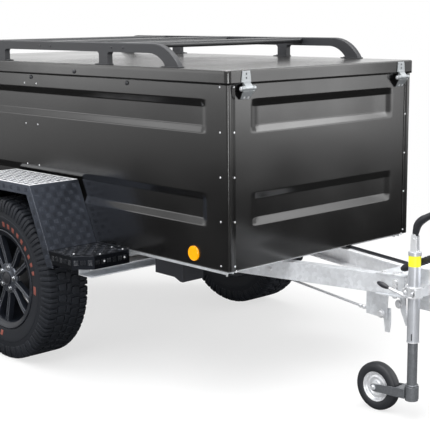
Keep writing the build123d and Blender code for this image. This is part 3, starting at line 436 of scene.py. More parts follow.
def mixColour(tree, mask, first, second, blend="MIX"):
    # the first colour where the mask is 0 and the second where it is 1, or their product
    node = tree.nodes.new("ShaderNodeMix")
    node.data_type = "RGBA"
    node.blend_type = blend
    colours = [socket for socket in node.inputs if socket.type == "RGBA"]
    for value, socket in zip((mask, first, second), (node.inputs["Factor"], *colours)):
        feed(tree, value, socket)
    return [socket for socket in node.outputs if socket.type == "RGBA"][0]


def newMaterial(name, rough, metallic=0.0, **sockets):
    # a material kept under its name among the finishes, with its shader's own sockets set
    material = bpy.data.materials.new(name)
    material.use_nodes = True
    finish[name] = material
    shader = material.node_tree.nodes["Principled BSDF"]
    for label, value in {"Roughness": rough, "Metallic": metallic, **sockets}.items():
        shader.inputs[label.replace("_", " ")].default_value = value
    return material.node_tree, shader


def bumpOn(tree, shader, height, distance, normal=None, strength=1.0):
    # bumps of that depth in the shader's normal, on top of a rounded normal where one is given
    bump = tree.nodes.new("ShaderNodeBump")
    bump.inputs["Distance"].default_value = distance
    bump.inputs["Strength"].default_value = strength
    feed(tree, height, bump.inputs["Height"])
    if normal is not None:
        feed(tree, normal, bump.inputs["Normal"])
    feed(tree, bump.outputs["Normal"], shader.inputs["Normal"])


def coated(name, colour, rough, grainScale, bumpDepth, edgeColour, edgeRadius=0.0012, specular=0.5,
           metallic=0.0, cloud=0.12, **sockets):
    # paint, plastic or rubber: base colour with a slow cloud, lighter edges, fine bumps
    tree, shader = newMaterial(name, rough, metallic, Specular_IOR_Level=specular, **sockets)
    grain = placeGroup(tree, grainGroup, Scale=grainScale, Cloud_Scale=3.0)
    edge = placeGroup(tree, edgeGroup, Radius=edgeRadius, Spread=0.3)
    dark, light = (tuple(min(1, c * (1 + step * cloud)) for c in colour) for step in (-2, 2))
    base = mixColour(tree, mapRange(tree, grain.outputs["Cloud"], 0.3, 0.7), dark, light)
    feed(tree, mixColour(tree, edge.outputs["Mask"], base, edgeColour), shader.inputs["Base Color"])
    spread = mapRange(tree, grain.outputs["Cloud"], 0.3, 0.7, rough - 0.04, rough + 0.05)
    feed(tree, spread, shader.inputs["Roughness"])
    bumpOn(tree, shader, grain.outputs["Height"], bumpDepth, edge.outputs["Normal"])


def bareMetal(name, colour, rough, spangleScale, contrast, edgeColour, metallic=1.0, bumpDepth=0.0,
              streak=None, litTopColour=None):
    # zinc, steel or aluminium: crystal patches, streaks along the part and bright edges; where a lit top
    # colour is given, a painted highlight makes upward faces lighter and less metallic
    tree, shader = newMaterial(name, rough, metallic)
    spangle = placeGroup(tree, spangleGroup, Scale=spangleScale, Contrast=contrast)
    edge = placeGroup(tree, edgeGroup, Radius=0.0015, Spread=0.4)
    cloud = mapRange(tree, spangle.outputs["Cloud"], 0.25, 0.75, 0.86, 1.08)
    tone = mathNode(tree, "MULTIPLY", spangle.outputs["Tone"], cloud)
    if streak:
        lines = noiseNode(tree, 1.0, 3.0, streak)
        tone = mathNode(tree, "MULTIPLY", tone, mapRange(tree, lines, 0.3, 0.7, 0.92, 1.06))
    # painted highlight: the more a face looks up, the lighter and less metallic it is painted, as if lit from
    # above
    if litTopColour:
        upward = mapRange(tree, normalHeight(tree), 0.55, 0.95)
        colour = mixColour(tree, upward, colour, litTopColour)
        litTopMetallic = mathNode(tree, "SUBTRACT", 1.0, mathNode(tree, "MULTIPLY", upward, 0.75))
        feed(tree, litTopMetallic, shader.inputs["Metallic"])
    toned = mixColour(tree, 1.0, colour, tone, "MULTIPLY")
    feed(tree, mixColour(tree, edge.outputs["Mask"], toned, edgeColour), shader.inputs["Base Color"])
    spread = mapRange(tree, spangle.outputs["Tone"], 0.85, 1.15, rough - 0.06, rough + 0.08)
    feed(tree, spread, shader.inputs["Roughness"])
    if bumpDepth:
        bumpOn(tree, shader, spangle.outputs["Cloud"], bumpDepth, edge.outputs["Normal"], 0.6)
    else:
        feed(tree, edge.outputs["Normal"], shader.inputs["Normal"])


def makeLens(name, colour, glow):
    # moulded lens: small prisms in rows under a clear gloss
    tree, shader = newMaterial(name, 0.12, Coat_Weight=0.15, Coat_Roughness=0.05)
    cells = tree.nodes.new("ShaderNodeTexVoronoi")
    cells.distance = "CHEBYCHEV"
    for label, value in (("Scale", 260), ("Randomness", 0.0), ("Vector", objectPlace(tree))):
        feed(tree, value, cells.inputs[label])
    base = mixColour(tree, mapRange(tree, cells.outputs["Distance"], 0.0, 0.7), colour, glow)
    feed(tree, base, shader.inputs["Base Color"])
    bumpOn(tree, shader, cells.outputs["Distance"], 0.0006)


def makePlywood():
    # film-faced board: brown film with a fine mesh print and lighter layers at its edges
    tree, shader = newMaterial("plywood", 0.45)
    grain = placeGroup(tree, grainGroup, Scale=500, Cloud_Scale=3)
    streaks = noiseNode(tree, 1.0, 6.0, (3, 60, 60))
    base = mixColour(tree, mapRange(tree, streaks, 0.3, 0.7), (0.055, 0.028, 0.016), (0.10, 0.055, 0.03))
    wave = tree.nodes.new("ShaderNodeTexWave")
    wave.bands_direction = "Z"
    wave.inputs["Scale"].default_value = 110
    feed(tree, objectPlace(tree), wave.inputs["Vector"])
    edgeOn = mathNode(tree, "LESS_THAN", mathNode(tree, "ABSOLUTE", normalHeight(tree), 0), 0.5)
    layers = mixColour(tree, wave.outputs["Fac"], (0.30, 0.19, 0.10), (0.48, 0.34, 0.20))
    feed(tree, mixColour(tree, edgeOn, base, layers), shader.inputs["Base Color"])
    bumpOn(tree, shader, grain.outputs["Height"], 0.00008)


# Painted, moulded and rubber finishes: colour, roughness, grain scale, bump depth, edge colour, edge radius
coated("boxPaint", (0.0030, 0.0029, 0.0029), 0.20, 1400, 0.00001, (0.010, 0.010, 0.010), specular=0.55,
       cloud=0.05)
# painted sheen: the lid's top takes a lighter, warmer and glossier copy of the box paint, standing in for its
# bright grazing reflection
coated("lidTopSheen", (0.0088, 0.0080, 0.0073), 0.22, 1400, 0.00001, (0.018, 0.017, 0.017), specular=0.9,
       cloud=0.03, Coat_Weight=0.35, Coat_Roughness=0.20)
coated("rackPaint", (0.017, 0.018, 0.021), 0.46, 900, 0.00010, (0.05, 0.05, 0.055), specular=0.4)
coated("barBlack", (0.012, 0.013, 0.015), 0.30, 1200, 0.00002, (0.06, 0.06, 0.065))
coated("blackPlastic", (0.012, 0.013, 0.017), 0.45, 1100, 0.00008, (0.04, 0.042, 0.05))
coated("rubber", (0.0074, 0.0090, 0.0128), 0.66, 700, 0.00015, (0.022, 0.026, 0.034), 0.0025, 0.28)
coated("softRubber", (0.010, 0.011, 0.014), 0.55, 900, 0.00008, (0.02, 0.022, 0.026))
coated("strutBlack", (0.012, 0.012, 0.012), 0.22, 1500, 0.00001, (0.03, 0.03, 0.03))
coated("alloyDark", (0.010, 0.012, 0.017), 0.34, 1500, 0.00001, (0.20, 0.21, 0.24), 0.0020, 0.4, 0.3)
coated("alloyFace", (0.060, 0.066, 0.080), 0.26, 1500, 0.00001, (0.78, 0.80, 0.83), 0.0030, 0.5, 0.6)
coated("markPaint", (0.18, 0.040, 0.026), 0.60, 800, 0.0001, (0.40, 0.09, 0.05))
coated("labelYellow", (0.88, 0.80, 0.02), 0.35, 900, 0.00002, (0.95, 0.90, 0.25))
coated("plateWhite", (0.80, 0.80, 0.78), 0.30, 900, 0.00002, (0.85, 0.85, 0.83))

# Metal finishes: colour, roughness, crystal scale, contrast, edge colour, metallic share, bump depth
bareMetal("galvanised", (0.69, 0.71, 0.74), 0.46, 70, 0.16, (0.82, 0.83, 0.85), 0.55, 0.00024)
# painted light: a paler, non-metallic copy of the galvanised finish, which lifts the far beam's shaded web
bareMetal("farBeamLitZinc", (0.88, 0.89, 0.91), 0.46, 70, 0.10, (0.90, 0.90, 0.92), 0.0, 0.00024)
bareMetal("zinc", (0.66, 0.675, 0.70), 0.34, 160, 0.06, (0.84, 0.84, 0.86), 0.6)
bareMetal("brightZinc", (0.66, 0.67, 0.69), 0.34, 200, 0.05, (0.80, 0.80, 0.82), 0.5)
bareMetal("tubeZinc", (0.60, 0.62, 0.66), 0.30, 160, 0.04, (0.80, 0.80, 0.82), 0.65, streak=(260, 260, 2))
bareMetal("darkZinc", (0.20, 0.21, 0.225), 0.36, 180, 0.20, (0.50, 0.52, 0.55), 0.7)
bareMetal("hingeZinc", (0.25, 0.265, 0.275), 0.34, 260, 0.25, (0.60, 0.62, 0.64), 0.6)
# fender plate: the base colour is painted shade that darkens the slants and lip, and the lit top colour is a
# painted highlight on the top
bareMetal("treadPlate", (0.125, 0.14, 0.175), 0.32, 220, 0.06, (0.42, 0.44, 0.48),
          litTopColour=(0.90, 0.91, 0.93))
# painted dark reflection: the fender's bars, pressed from the same plate as its bright top, are given a dark
# colour
bareMetal("treadBars", (0.060, 0.067, 0.084), 0.34, 220, 0.06, (0.12, 0.13, 0.15))
bareMetal("darkPlate", (0.020, 0.022, 0.027), 0.38, 200, 0.10, (0.12, 0.125, 0.14))
# painted highlight: the step's bars take a lighter copy of the dark plate's colour
bareMetal("darkBars", (0.065, 0.068, 0.076), 0.32, 200, 0.08, (0.24, 0.25, 0.27))
bareMetal("alloyBright", (0.62, 0.64, 0.67), 0.22, 300, 0.04, (0.85, 0.86, 0.88), bumpDepth=0.00024)
bareMetal("castIron", (0.16, 0.16, 0.165), 0.55, 240, 0.25, (0.35, 0.35, 0.36), bumpDepth=0.00024)
bareMetal("chrome", (0.80, 0.80, 0.82), 0.08, 400, 0.02, (0.88, 0.88, 0.88), bumpDepth=0.00024)

makeLens("amberLens", (0.83, 0.28, 0.0), (0.88, 0.37, 0.0))
makeLens("redLens", (0.42, 0.006, 0.008), (0.75, 0.03, 0.03))
makePlywood()
print("finishes made:", len(finish))

nodeFinish = {
    "boxPaint": ("side_wall_right", "side_wall_left", "front_wall", "rear_frame", "light_bar", "lid_shell",
                 "tailgate_panel"),
    "rackPaint": ("rack_rails",),
    "barBlack": ("rack_bars",),
    "galvanised": ("cross_members", "drawbar_beam_right", "axle_tube", "swing_arms", "fender_brackets",
                   "overrun_housing", "drawtube", "brake_bracket"),
    # the far beam takes the painted-light copy of the galvanised finish
    "farBeamLitZinc": ("drawbar_beam_left",),
    "tubeZinc": ("jockey_outer_tube",),
    "darkZinc": ("jockey_inner_tube", "jockey_fork"),
    "zinc": ("jockey_clamp", "jockey_rim", "brake_rod", "brake_backplates", "coupling_head",
             "wall_strut_studs", "lid_strut_studs", "tailgate_latches"),
    "hingeZinc": ("hinge_leaves", "hinge_straps"),
    "treadPlate": ("fender_right", "fender_left"),
    "darkPlate": ("steps",),
    # the black wiring conduit along the far beam stands where the beam's own face is in shade: painted shade
    "blackPlastic": ("bellows", "coupling_handle", "handbrake_lever", "jockey_crank", "wiring_conduit",
                     "wheel_chocks"),
    "rubber": ("tyre_right", "tyre_left", "jockey_tyre"),
    "alloyDark": ("rim_right", "rim_left"),
    "castIron": ("hub_drum_right", "hub_drum_left"),
    "strutBlack": ("strut_cylinders",),
    "chrome": ("strut_rods",),
    "amberLens": ("side_reflectors",),
    "redLens": ("tail_lights",),
    "plateWhite": ("number_plate",),
    "plywood": ("floor_panel",),
}
for finishName, names in nodeFinish.items():
    for nodeName in names:
        mesh = nodes[nodeName].data
        mesh.materials.clear()
        mesh.materials.append(finish[finishName])


# Sheet metal of the box

panel = {
    "sheet": 0.003, "channelDepth": 0.012, "endSlope": 0.050, "foldShare": 0.16, "foldRadius": 0.0025,
    "channels": ((1.130, 1.164, 1.237, 1.271), (0.750, 0.785, 0.858, 0.891)),
    "sideInset": 0.120, "frontHalf": 0.458, "cornerRadius": 0.010, "wrap": 0.040,
    # depth of the folded hems, their depth at the box's corners, and how far the corners reach
    "hem": 0.014, "cornerHem": 0.004, "hemRear": 0.075, "hemFront": 0.030,
    # spacing of points near the folds and away from them, and how far near is
    "heightGrid": (0.0020, 0.06, 0.010), "sideGrid": (0.005, 0.12, 0.045), "frontGrid": (0.005, 0.10, 0.045),
}


def spaced(edges, fine, coarse, reach):
    # places from the first edge to the last, fine within reach of each edge and coarse between
    low, high = edges[0], edges[-1]
    places = [np.arange(low, high, coarse), [low, high]]
    for edge in edges:
        places.append(np.clip(np.arange(edge - reach, edge + reach, fine), low, high))
    return np.unique(np.round(np.concatenate(places), 5))


def softRamp(x, low, high):
    # 0 to 1 on a straight line, (t - b/2) / (1-b), rounded over the share b at each end by t^2 / 2b(1-b)
    b = panel["foldShare"]
    t = np.clip((np.asarray(x, float) - low) / (high - low), 0, 1)
    start = t ** 2 / (2 * b * (1 - b))
    end = 1 - (1 - t) ** 2 / (2 * b * (1 - b))
    return np.where(t < b, start, np.where(t > 1 - b, end, (t - b / 2) / (1 - b)))


def swageDepth(along, height, startAlong, endAlong):
    # how far the skin is pressed in: flat flanks with rounded folds along each channel and at its ends
    depth = np.zeros(np.broadcast(along, height).shape)
    for low, floorLow, floorHigh, high in panel["channels"]:
        depth += np.minimum(softRamp(height, low, floorLow), 1 - softRamp(height, floorHigh, high))
    slope = panel["endSlope"]
    start = smoothStep(along, startAlong, startAlong + slope)
    end = 1 - smoothStep(along, endAlong - slope, endAlong)
    return depth * start * end * panel["channelDepth"]


def foldedPanel(path, inward, along, span, hems):
    # a skin carried along a ground path: hem below, wall with its channels pressed inwards, hem above
    folds = sorted(z for channel in panel["channels"] for z in channel)
    heights = spaced([wallLow, *folds, wallHigh], *panel["heightGrid"])
    radius = panel["foldRadius"]
    turn = np.linspace(0, math.pi / 2, 4)[:-1]
    foldLevel = wallLow + radius * (1 - np.cos(turn))
    level = np.concatenate([
        [wallLow], foldLevel, np.clip(heights, wallLow + radius, wallHigh - radius),
        wallHigh + wallLow - foldLevel[::-1], [wallHigh],
    ])
    fold = np.broadcast_to(radius * (1 - np.sin(turn)), (len(path), len(turn)))
    wall = swageDepth(along[:, None], heights[None, :], *span)
    offset = np.hstack([hems[:, None], fold, wall, fold[:, ::-1], hems[:, None]])
    points = path[:, None, :] + inward[:, None, :] * offset[:, :, None]
    level = np.broadcast_to(level[None, :, None], (*offset.shape, 1))
    return np.concatenate([points, level], -1), gridQuads(*offset.shape)


def sideWallPath(side):
    # straight along the side, round the front corner, and back across the front for the wrap
    radius, inset = panel["cornerRadius"], panel["sideInset"]
    xs = spaced([boxRear, boxRear + inset, boxFront - inset, boxFront - radius], *panel["sideGrid"])
    turn = np.linspace(0, math.pi / 2, 7)[1:-1]
    corner = np.column_stack([np.sin(turn), np.cos(turn)])
    path = np.concatenate([
        np.column_stack([xs, np.full(len(xs), halfWidth)]),
        corner * radius + (boxFront - radius, halfWidth - radius),
        [(boxFront, halfWidth - radius), (boxFront, halfWidth - panel["wrap"])],
    ])
    inward = -np.concatenate([np.tile([0, 1.0], (len(xs), 1)), corner, np.tile([1.0, 0], (2, 1))])
    along = np.concatenate([xs, np.full(len(path) - len(xs), boxFront)])
    between = (path[:, 0] > boxRear + panel["hemRear"]) & (path[:, 0] < boxFront - panel["hemFront"])
    return path * (1, side), inward * (1, side), along, np.where(between, panel["hem"], panel["cornerHem"])


def makeSideWalls():
    # the same skin on both sides, mirrored, with its faces turned outwards
    span = (boxRear + panel["sideInset"], boxFront - panel["sideInset"])
    for hand, side in sides:
        path, inward, along, hems = sideWallPath(side)
        points, faces = foldedPanel(path, inward, along, span, hems)
        addPiece(f"sideSkin_{hand}", (points, faces[:, ::side]), "boxPaint", replaces=(f"side_wall_{hand}",),
                 thick=panel["sheet"])


def makeFrontWall():
    # straight across the front, behind the side walls' wraps
    half = panel["frontHalf"]
    width = halfWidth - panel["sheet"] - 0.0005
    ys = spaced([-width, -half, half, width], *panel["frontGrid"])
    path = np.column_stack([np.full(len(ys), boxFront - panel["sheet"]), ys])
    inward = np.tile([-1.0, 0], (len(ys), 1))
    hems = np.where(np.abs(ys) < width - panel["hemFront"], panel["hem"], panel["cornerHem"])
    points, faces = foldedPanel(path, inward, ys, (-half, half), hems)
    addPiece("frontSkin", (points, faces[:, ::-1]), "boxPaint", replaces=("front_wall",),
             thick=panel["sheet"])


lid = {
    "corner": 0.022, "edge": 0.007, "skin": 0.003, "leastRadius": 0.004,
    # inset and lift of the skirt's rings, the last one also as far below the edge, and insets on the flat top
    "skirt": ((0.012, 0.0), (0.003, 0.0), (0.0, 0.0015), (0.0, 0.010)), "top": (0.012, 0.03, 0.12),
}


def makeLid():
    # rings of a rounded rectangle: up the skirt, over a quarter circle at the edge, and across the top
    low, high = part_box("lid_shell")
    middle, half = (low + high) / 2, (high - low) / 2
    corner, edge = lid["corner"], lid["edge"]

    def ring(inset, z):
        # one outline pulled in all round; past the corners' radius it shrinks towards the middle
        radius = max(corner - inset, lid["leastRadius"])
        flat = roundedBox(middle.x, middle.y, half.x - corner + radius, half.y - corner + radius, radius, 9)
        if inset > corner:
            flat = [middle.x, middle.y] + (flat - [middle.x, middle.y]) * (1 - (inset - corner) / half.y)
        return np.column_stack([flat, np.full(len(flat), z)])

    rings = [ring(inset, low.z + lift) for inset, lift in lid["skirt"]]
    rings.append(ring(0, high.z - edge - lid["skirt"][-1][1]))
    for t in np.linspace(0, math.pi / 2, 7):
        rings.append(ring(edge * (1 - math.cos(t)), high.z - edge + edge * math.sin(t)))
    rings += [ring(inset, high.z) for inset in lid["top"]]
    count, points = len(rings[0]), np.concatenate(rings)
    faces = gridQuads(len(rings), count, False, True).tolist()
    faces.append(list(range(len(points) - count, len(points))))
    skin = addPiece("lidSkin", outward(points, faces), ("lidTopSheen", "boxPaint"), "lid", ("lid_shell",),
                    thick=lid["skin"])
    # faces that look up take the painted sheen, upright faces the box paint
    upright = [int(abs(face.normal.z) < 0.5) for face in skin.data.polygons]
    skin.data.polygons.foreach_set("material_index", upright)


makeSideWalls()
makeFrontWall()
makeLid()
print("box skins made")


# Wheels

tyre = {
    "half": 0.1155, "middle": 0.7405, "pitches": 46, "segments": 138,
    "carcass": ((0.80, 0.216), (0.83, 0.226), (0.855, 0.238), (0.90, 0.2415), (0.915, 0.245), (0.93, 0.262),
                (0.965, 0.280), (0.985, 0.297), (0.985, 0.301), (0.972, 0.303), (0.966, 0.322),
                (0.945, 0.346), (0.89, 0.362), (0.80, 0.3705), (0.55, 0.3735), (0.0, 0.3745)),
    "liner": ((-0.66, 0.216), (-0.76, 0.350), (0.76, 0.350), (0.66, 0.216)),
    # (y, s) outlines in shares of the half width and of the pitch
    "blocks": (
        ((0.16, -0.02), (0.30, -0.10), (0.47, -0.02), (0.49, 0.30), (0.44, 0.56), (0.30, 0.50), (0.17, 0.58),
         (0.13, 0.30)),
        ((-0.11, 0.02), (0.02, -0.06), (0.10, 0.04), (0.08, 0.34), (0.11, 0.62), (-0.02, 0.70), (-0.10, 0.58),
         (-0.08, 0.28)),
        ((-0.16, 0.42), (-0.30, 0.34), (-0.47, 0.42), (-0.49, 0.76), (-0.44, 1.02), (-0.30, 0.96),
         (-0.17, 1.04), (-0.13, 0.74)),
    ),
    # scale and radius lost of a block's rings, from its foot, which stands in the carcass, to its top
    "blockRings": ((1.06, None), (1.0, 0.0008), (0.93, 0.0)), "footRadius": 0.3725, "topRadius": 0.3838,
    "crownDrop": 0.0012,
    "lugSection": ((0.54, 0.370), (0.545, 0.3825), (0.60, 0.3838), (0.84, 0.3832), (0.90, 0.380),
                   (0.968, 0.3655), (0.985, 0.352), (1.0, 0.330), (0.985, 0.324), (0.90, 0.332),
                   (0.80, 0.358)),
    # where a shoulder lug starts and ends within its pitch, and how far it reaches down the side
    "lugs": ((-0.36, -0.04, 1.0), (0.04, 0.38, 0.975)), "lugTaper": (0.03, 0.985), "lugMiddle": (0.70, 0.35),
    "marks": (84, 75.5, 67, 58, 49.5, 41, 32, 23.5, 15), "longMark": (-6.5, 2), "markWidth": 4.2,
    "markRadii": (0.2540, 0.2555, 0.2785, 0.2800),
}


def ringCopies(rings, closeFoot):
    # at every pitch one shell whose rings are joined in turn; a ring holds pitch x point x xyz
    stack = np.stack(rings, 1)
    pitches, depth, count = stack.shape[:3]
    size = depth * count
    faces = gridQuads(depth, count, False, True).tolist() + [list(range(size - count, size))]
    if closeFoot:
        faces.append(list(range(count))[::-1])
    faces = outward(stack[0].reshape(-1, 3), faces)[1]
    return stack.reshape(-1, 3), [[i + n * size for i in face] for n in range(pitches) for face in faces]


def tyreShell(side):
    # carcass turned round the axle, with pitch after pitch of blocks and shoulder lugs on it
    centre = np.array([axleX, side * tyre["middle"], wheelZ])
    half, pitch = tyre["half"], 2 * math.pi / tyre["pitches"]
    starts = np.arange(tyre["pitches"])[:, None] * pitch
    profile = [*tyre["carcass"], *((-share, r) for share, r in tyre["carcass"][-2::-1]), *tyre["liner"]]
    shells = [turned([(share * half, r) for share, r in profile], centre, tyre["segments"])]

    def bend(y, angle, r):
        # a point at that angle round the axle and that far from it
        return np.stack([r * np.sin(angle), side * y + 0 * angle, r * np.cos(angle)], -1) + centre

    for outline in tyre["blocks"]:
        outline = np.array(outline)
        middle = outline.mean(0)
        rings = []
        for scale, drop in tyre["blockRings"]:
            share, place = (middle + (outline - middle) * scale).T
            crown = tyre["topRadius"] - tyre["crownDrop"] * share ** 2
            r = np.full(len(share), tyre["footRadius"]) if drop is None else crown - drop
            rings.append(bend(share * half, starts + place * pitch, r))
        shells.append(ringCopies(rings, False))
    section = np.array(tyre["lugSection"])
    middleY, middleR = tyre["lugMiddle"]
    slope, small = tyre["lugTaper"]
    for row, stagger in ((-1, 0.0), (1, 0.5)):
        for low, high, reach in tyre["lugs"]:
            rings = []
            for share, inset in ((low, small), (low + slope, 1.0), (high - slope, 1.0), (high, small)):
                y = middleY + (section[:, 0] - middleY) * inset * np.where(section[:, 0] > 0.9, reach, 1.0)
                r = middleR + (section[:, 1] - middleR) * inset
                angle = math.pi + starts + (stagger + share) * pitch + 0 * y
                rings.append(bend(row * y * half, angle, r))
            shells.append(ringCopies(rings, True))
    return joinShells(shells)


def markShell(side):
    # raised plain bars on the outer sidewall, each a small patch bent round the wheel
    centre = np.array([axleX, side * tyre["middle"], wheelZ])
    radii = np.array(tyre["markRadii"])
    half = tyre["markWidth"] / 2
    spans = [(middle - half, middle + half) for middle in tyre["marks"]] + [tyre["longMark"]]
    inner = np.array([False, True, True, False])
    shells = []
    for start in (0, 180):
        for low, high in spans:
            angle = np.radians(90 - start - np.array([high, high - 0.3, low + 0.3, low]))
            share = np.interp(radii, [0.245, 0.262, 0.280, 0.297], [0.915, 0.93, 0.965, 0.985]) * tyre["half"]
            proud = np.where(inner[:, None] & inner[None, :], 0.0012, -0.001)
            a, r = np.meshgrid(angle, radii, indexing="ij")
            y = side * (share[None, :] + proud)
            points = np.stack([r * np.sin(a), y, r * np.cos(a)], -1) + centre
            faces = gridQuads(4, 4)
            shells.append((points.reshape(-1, 3), faces if side < 0 else faces[:, ::-1]))
    return joinShells(shells)


rim = {
    "out": 0.849, "in": 0.632, "pairs": 5, "spokeAngle": 41, "barWidth": (0.021, 0.025), "barDepth": 0.028,
    "boltCircle": 0.052, "bolts": 5, "bolt": (0.019, 0.009, 0.0135), "boltIn": 0.0265,
    # the spokes' start and length along the radius, and half the gap of a pair at the hub and at the barrel
    "spokeRun": (0.050, 0.158), "spokeGap": (0.019, 0.041),
    # the radii between which the gap opens, the face comes forward and the bars flare, and by how much
    "gapRadii": (0.03, 0.215), "faceRadii": (0.070, 0.200), "face": (0.027, 0.012),
    "flareRadii": (0.190, 0.210), "flare": 0.010,
    # a spoke's section: across in shares of its width, and in from its face in shares of its depth
    "section": ((-0.50, -1.0), (-0.50, -0.20), (-0.44, -0.04), (-0.36, 0.0), (-0.20, -0.01), (-0.14, -0.10),
                (0.0, -0.14), (0.14, -0.10), (0.20, -0.01), (0.36, 0.0), (0.44, -0.04), (0.50, -0.20),
                (0.50, -1.0)),
    "crests": (2, 3, 8, 9),
    # hub and cap: place along the axle from the rim's outer edge, and radius
    "hub": ((-0.060, 0.0004), (-0.060, 0.070), (-0.034, 0.073), (-0.028, 0.068), (-0.0265, 0.060),
            (-0.0265, 0.040), (-0.024, 0.036), (-0.024, 0.0004)),
    "cap": ((-0.030, 0.0004), (-0.030, 0.033), (-0.0185, 0.033), (-0.0165, 0.031), (-0.0170, 0.027),
            (-0.0185, 0.026), (-0.0160, 0.016), (-0.0152, 0.0004)),
}


def rimShells(side):
    # barrel, hub and cap turned round the axle; each spoke is a grooved section carried out along its line
    out, inner = rim["out"], rim["in"]
    centre = np.array([axleX, 0, wheelZ])
    barrel = [
        (inner, 0.238), (inner + 0.002, 0.2385), (inner + 0.007, 0.2375), (inner + 0.009, 0.2165),
        (inner + 0.05, 0.2155), (inner + 0.07, 0.209), (out - 0.06, 0.209), (out - 0.04, 0.2155),
        (out - 0.010, 0.2165), (out - 0.008, 0.2365), (out - 0.0045, 0.2385), (out - 0.001, 0.2375),
        (out, 0.2345), (out - 0.002, 0.2300), (out - 0.006, 0.2150), (out - 0.013, 0.2085),
        (out - 0.024, 0.2050), (out - 0.075, 0.2040), (out - 0.10, 0.198), (inner + 0.02, 0.198),
        (inner + 0.004, 0.212),
    ]
    hub, cap = ([(out + y, r) for y, r in rim[part]] for part in ("hub", "cap"))
    turnedShells = [turned([(side * y, r) for y, r in profile], centre, segments)
              for profile, segments in ((barrel, 96), (hub, 60), (cap, 48))]
    section = np.array(rim["section"])
    along = np.linspace(0, 1, 15)
    start, length = rim["spokeRun"]
    nearGap, farGap = rim["spokeGap"]
    thin, wide = rim["barWidth"]
    radius = start + along * length
    face = out - rim["face"][0] + rim["face"][1] * smoothStep(radius, *rim["faceRadii"])
    width = thin + (wide - thin) * along + rim["flare"] * smoothStep(radius, *rim["flareRadii"])
    gap = nearGap + (farGap - nearGap) * smoothStep(radius, *rim["gapRadii"])
    depth = face[:, None] + section[None, :, 1] * rim["barDepth"]
    count, last = len(section), len(along) * len(section)
    quads = gridQuads(len(along), count, False, True).tolist()
    quads += [list(range(count))[::-1], list(range(last - count, last))]
    bars = []
    for k in range(rim["pairs"]):
        spin = math.radians(rim["spokeAngle"] + 72 * k)
        for lean in (-1, 1):
            w = lean * gap[:, None] + section[None, :, 0] * width[:, None]
            x = radius[:, None] * math.cos(spin) - w * math.sin(spin)
            z = radius[:, None] * math.sin(spin) + w * math.cos(spin)
            points = np.stack([x, side * depth, z], -1) + centre
            bars.append(outward(points.reshape(-1, 3), quads))
    crest = np.tile(np.isin(np.arange(count), rim["crests"]), len(along) - 1)
    crests = np.tile(np.concatenate([crest, [False, False]]), len(bars))
    return *turnedShells, joinShells(bars), crests


def makeWheels():
    # per side a tyre with its marks, and a rim whose crests take the bright face
    for hand, side in sides:
        body, wheelRim = f"wheel_{hand}", (f"rim_{hand}",)
        addPiece(f"tyre_{hand}_tread", tyreShell(side), "rubber", body, (f"tyre_{hand}",), sharp=30)
        addPiece(f"tyre_{hand}_marks", markShell(side), "markPaint", body, sharp=50)
        barrel, hub, cap, bars, crests = rimShells(side)
        addPiece(f"rim_{hand}_barrel", barrel, "alloyDark", body, wheelRim)
        spokes = addPiece(f"rim_{hand}_spokes", bars, ("alloyDark", "alloyFace"), body, wheelRim,
                          bevel=0.0008)
        spokes.data.polygons.foreach_set("material_index", crests.astype(np.int32))
        addPiece(f"rim_{hand}_hub", hub, "alloyFace", body, wheelRim, bevel=0.0008)
        addPiece(f"rim_{hand}_cap", cap, "blackPlastic", body, sharp=30)
        turn = np.radians(rim["spokeAngle"] + 36 + np.arange(rim["bolts"]) * 72)
        places = np.column_stack([
            axleX + rim["boltCircle"] * np.cos(turn), np.full(len(turn), side * (rim["out"] - rim["boltIn"])),
            wheelZ + rim["boltCircle"] * np.sin(turn),
        ])
        bolts = scatter(hexShell(*rim["bolt"]), places, facing(np.tile([0, side, 0], (len(turn), 1))))
        addPiece(f"rim_{hand}_bolts", bolts, "alloyBright", body)


makeWheels()
print("wheels made")


# Rivets and bolts of the box

fasteners = {
    "rivet": (0.0042, 0.0018), "rivetLevels": (1.321, 1.142, 0.962, 0.782, 0.600), "sideRivetX": fore(1.219),
    "frontRivetY": 0.548, "postColumns": (fore(-0.155), fore(-0.055)), "postLevels": (1.285, 1.090, 0.893),
    "cap": (0.0105, 0.0085), "strutBolts": ((fore(-0.097), 1.315), (fore(0.637), 1.315)),
    "lidBolt": (fore(0.268), 1.353),
    "railScrew": (0.0055, 0.003), "railScrews": (-0.010, 0.075, 0.535, 0.615, -0.400, -0.480),
    "railY": 0.584, "railZ": 1.465,
}


def makeBoxFasteners():
    # rivets down the corners and the post, and round caps over the ends of the struts' and rails' bolts
    columns = [(fasteners["sideRivetX"], fasteners["rivetLevels"])]
    columns += [(x, fasteners["postLevels"]) for x in fasteners["postColumns"]]
    flank = bothSides([(x, halfWidth, z) for x, levels in columns for z in levels])
    front = bothSides([(boxFront, fasteners["frontRivetY"], z) for z in fasteners["rivetLevels"]])
    normals = sideways(flank) + [(1, 0, 0)] * len(front)
    addScatter("wallRivets", domeShell(*fasteners["rivet"]), flank + front, normals, "brightZinc")
    cap = domeShell(*fasteners["cap"])
    addPairs("strutBolts", cap, [(x, halfWidth, z) for x, z in fasteners["strutBolts"]], "blackPlastic")
    (x, z), y = fasteners["lidBolt"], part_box("lid_shell")[1].y
    addPairs("lidBolts", cap, [(x, y, z)], "blackPlastic", "lid")
    places = [(fore(x), fasteners["railY"], fasteners["railZ"]) for x in fasteners["railScrews"]]
    addPairs("railBolts", domeShell(*fasteners["railScrew"]), places, "blackPlastic", "lid")


makeBoxFasteners()


# Checker plate of the fenders and steps

